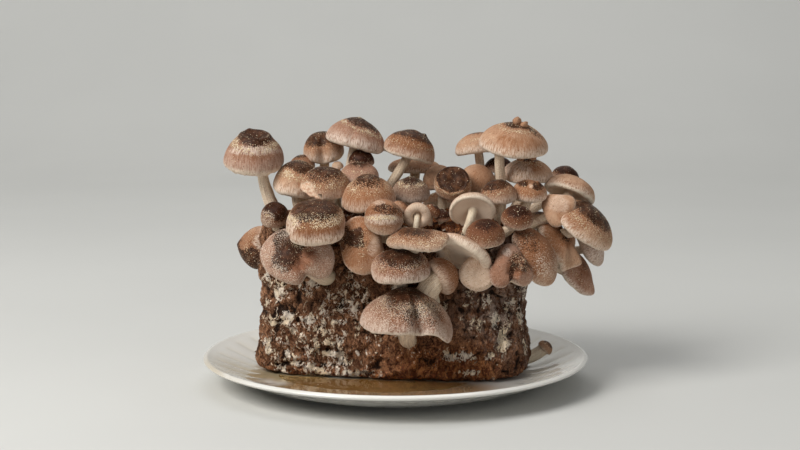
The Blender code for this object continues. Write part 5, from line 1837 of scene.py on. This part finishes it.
@dataclass(frozen=True)
class Softbox:
    """A square lamp that points at the object."""

    name: str
    place: Triple
    size: float
    power: float
    colour: Triple = (1.0, 1.0, 1.0)
    aim: Triple = (0.0, 0.0, 0.09)

    def hang(self) -> Piece:
        """Hang the lamp.

        Returns:
            The lamp.
        """
        light = bpy.data.lights.new(self.name, "AREA")
        light.size = self.size
        light.energy = self.power
        light.color = self.colour
        lamp = stand(self.name, light)
        lamp.location = self.place
        way = Vector(self.aim) - lamp.location
        lamp.rotation_euler = way.to_track_quat("-Z", "Y").to_euler()
        return lamp


@dataclass(frozen=True)
class Studio:
    """A pale sweep, soft light from the left, and the camera."""

    lamps: tuple[Softbox, ...] = (
        Softbox("window_light", (-1.25, -1.05, 1.45), 1.1, 47, (1.0, 0.985, 0.96)),
        Softbox("front_fill", (1.3, -1.8, 0.6), 1.6, 5),
        Softbox("wall_light", (0.0, 1.2, 3.0), 2.2, 28, aim=(0.0, 2.3, 0.6)),
    )
    sky: Triple = (0.86, 0.88, 0.90)
    sky_strength: float = 0.25
    camera_place: Triple = (-0.0045, -1.2223, 0.2805)
    camera_drop: float = 7.75
    lens: float = 76.8
    sweep: float = 4.0
    wall: float = 2.4
    bend: float = 1.0

    def build(self) -> None:
        """Lay the sweep, hang the lamps and set up the camera."""
        self.lay_sweep()
        for lamp in self.lamps:
            lamp.hang()
        world = bpy.data.worlds.new("studio_air")
        world.use_nodes = True
        air = world.node_tree.nodes["Background"]
        air.inputs["Color"].default_value = (*self.sky, 1.0)
        air.inputs["Strength"].default_value = self.sky_strength
        bpy.context.scene.world = world
        bpy.context.scene.view_settings.view_transform = "Standard"
        view = bpy.data.cameras.new("camera")
        view.lens = self.lens
        view.sensor_width = 36.0
        camera = stand("camera", view)
        camera.location = self.camera_place
        camera.rotation_euler = (math.radians(90 - self.camera_drop), 0, 0)
        bpy.context.scene.camera = camera

    def lay_sweep(self) -> None:
        """A floor that bends up into a wall far behind the object."""
        bpy.ops.object.select_all(action="DESELECT")
        bpy.ops.mesh.primitive_grid_add(x_subdivisions=2, y_subdivisions=64, size=2)
        sweep = bpy.context.object
        sweep.name = "studio_sweep"
        start = self.wall - self.bend
        quarter = self.bend * math.pi / 2
        for vertex in sweep.data.vertices:
            run = (vertex.co.y + 1) / 2 * (2 * self.sweep + quarter + 1.5) - self.sweep
            turn = min(max(run - start, 0), quarter) / self.bend
            rise = max(run - start - quarter, 0)
            vertex.co = (vertex.co.x * self.sweep,
                         min(run, start) + self.bend * math.sin(turn),
                         self.bend * (1 - math.cos(turn)) + rise)
        sweep.data.shade_smooth()
        sweep.data.materials.append(BACKDROP.material())


def note(piece: Piece) -> Piece:
    """Log a finished piece.

    Args:
        piece: The piece.

    Returns:
        The same piece.
    """
    log.info("%s: %d vertices", piece.name, len(piece.data.vertices))
    return piece


def main() -> None:
    """Build every piece and log how many vertices each finished piece has."""
    logging.basicConfig(level=logging.INFO, format="%(name)s: %(message)s")
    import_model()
    note(DinnerPlate().build())
    block = SawdustBlock()
    growing = note(block.build([block.root(mushroom.stem.foot)[0] for mushroom in MUSHROOMS]))
    note(block.scatter(growing))
    note(PooledWater().build(block, growing))
    for seed, mushroom in enumerate(MUSHROOMS):
        note(mushroom.build(seed, block))
    Studio().build()


if __name__ == "__main__":
    main()
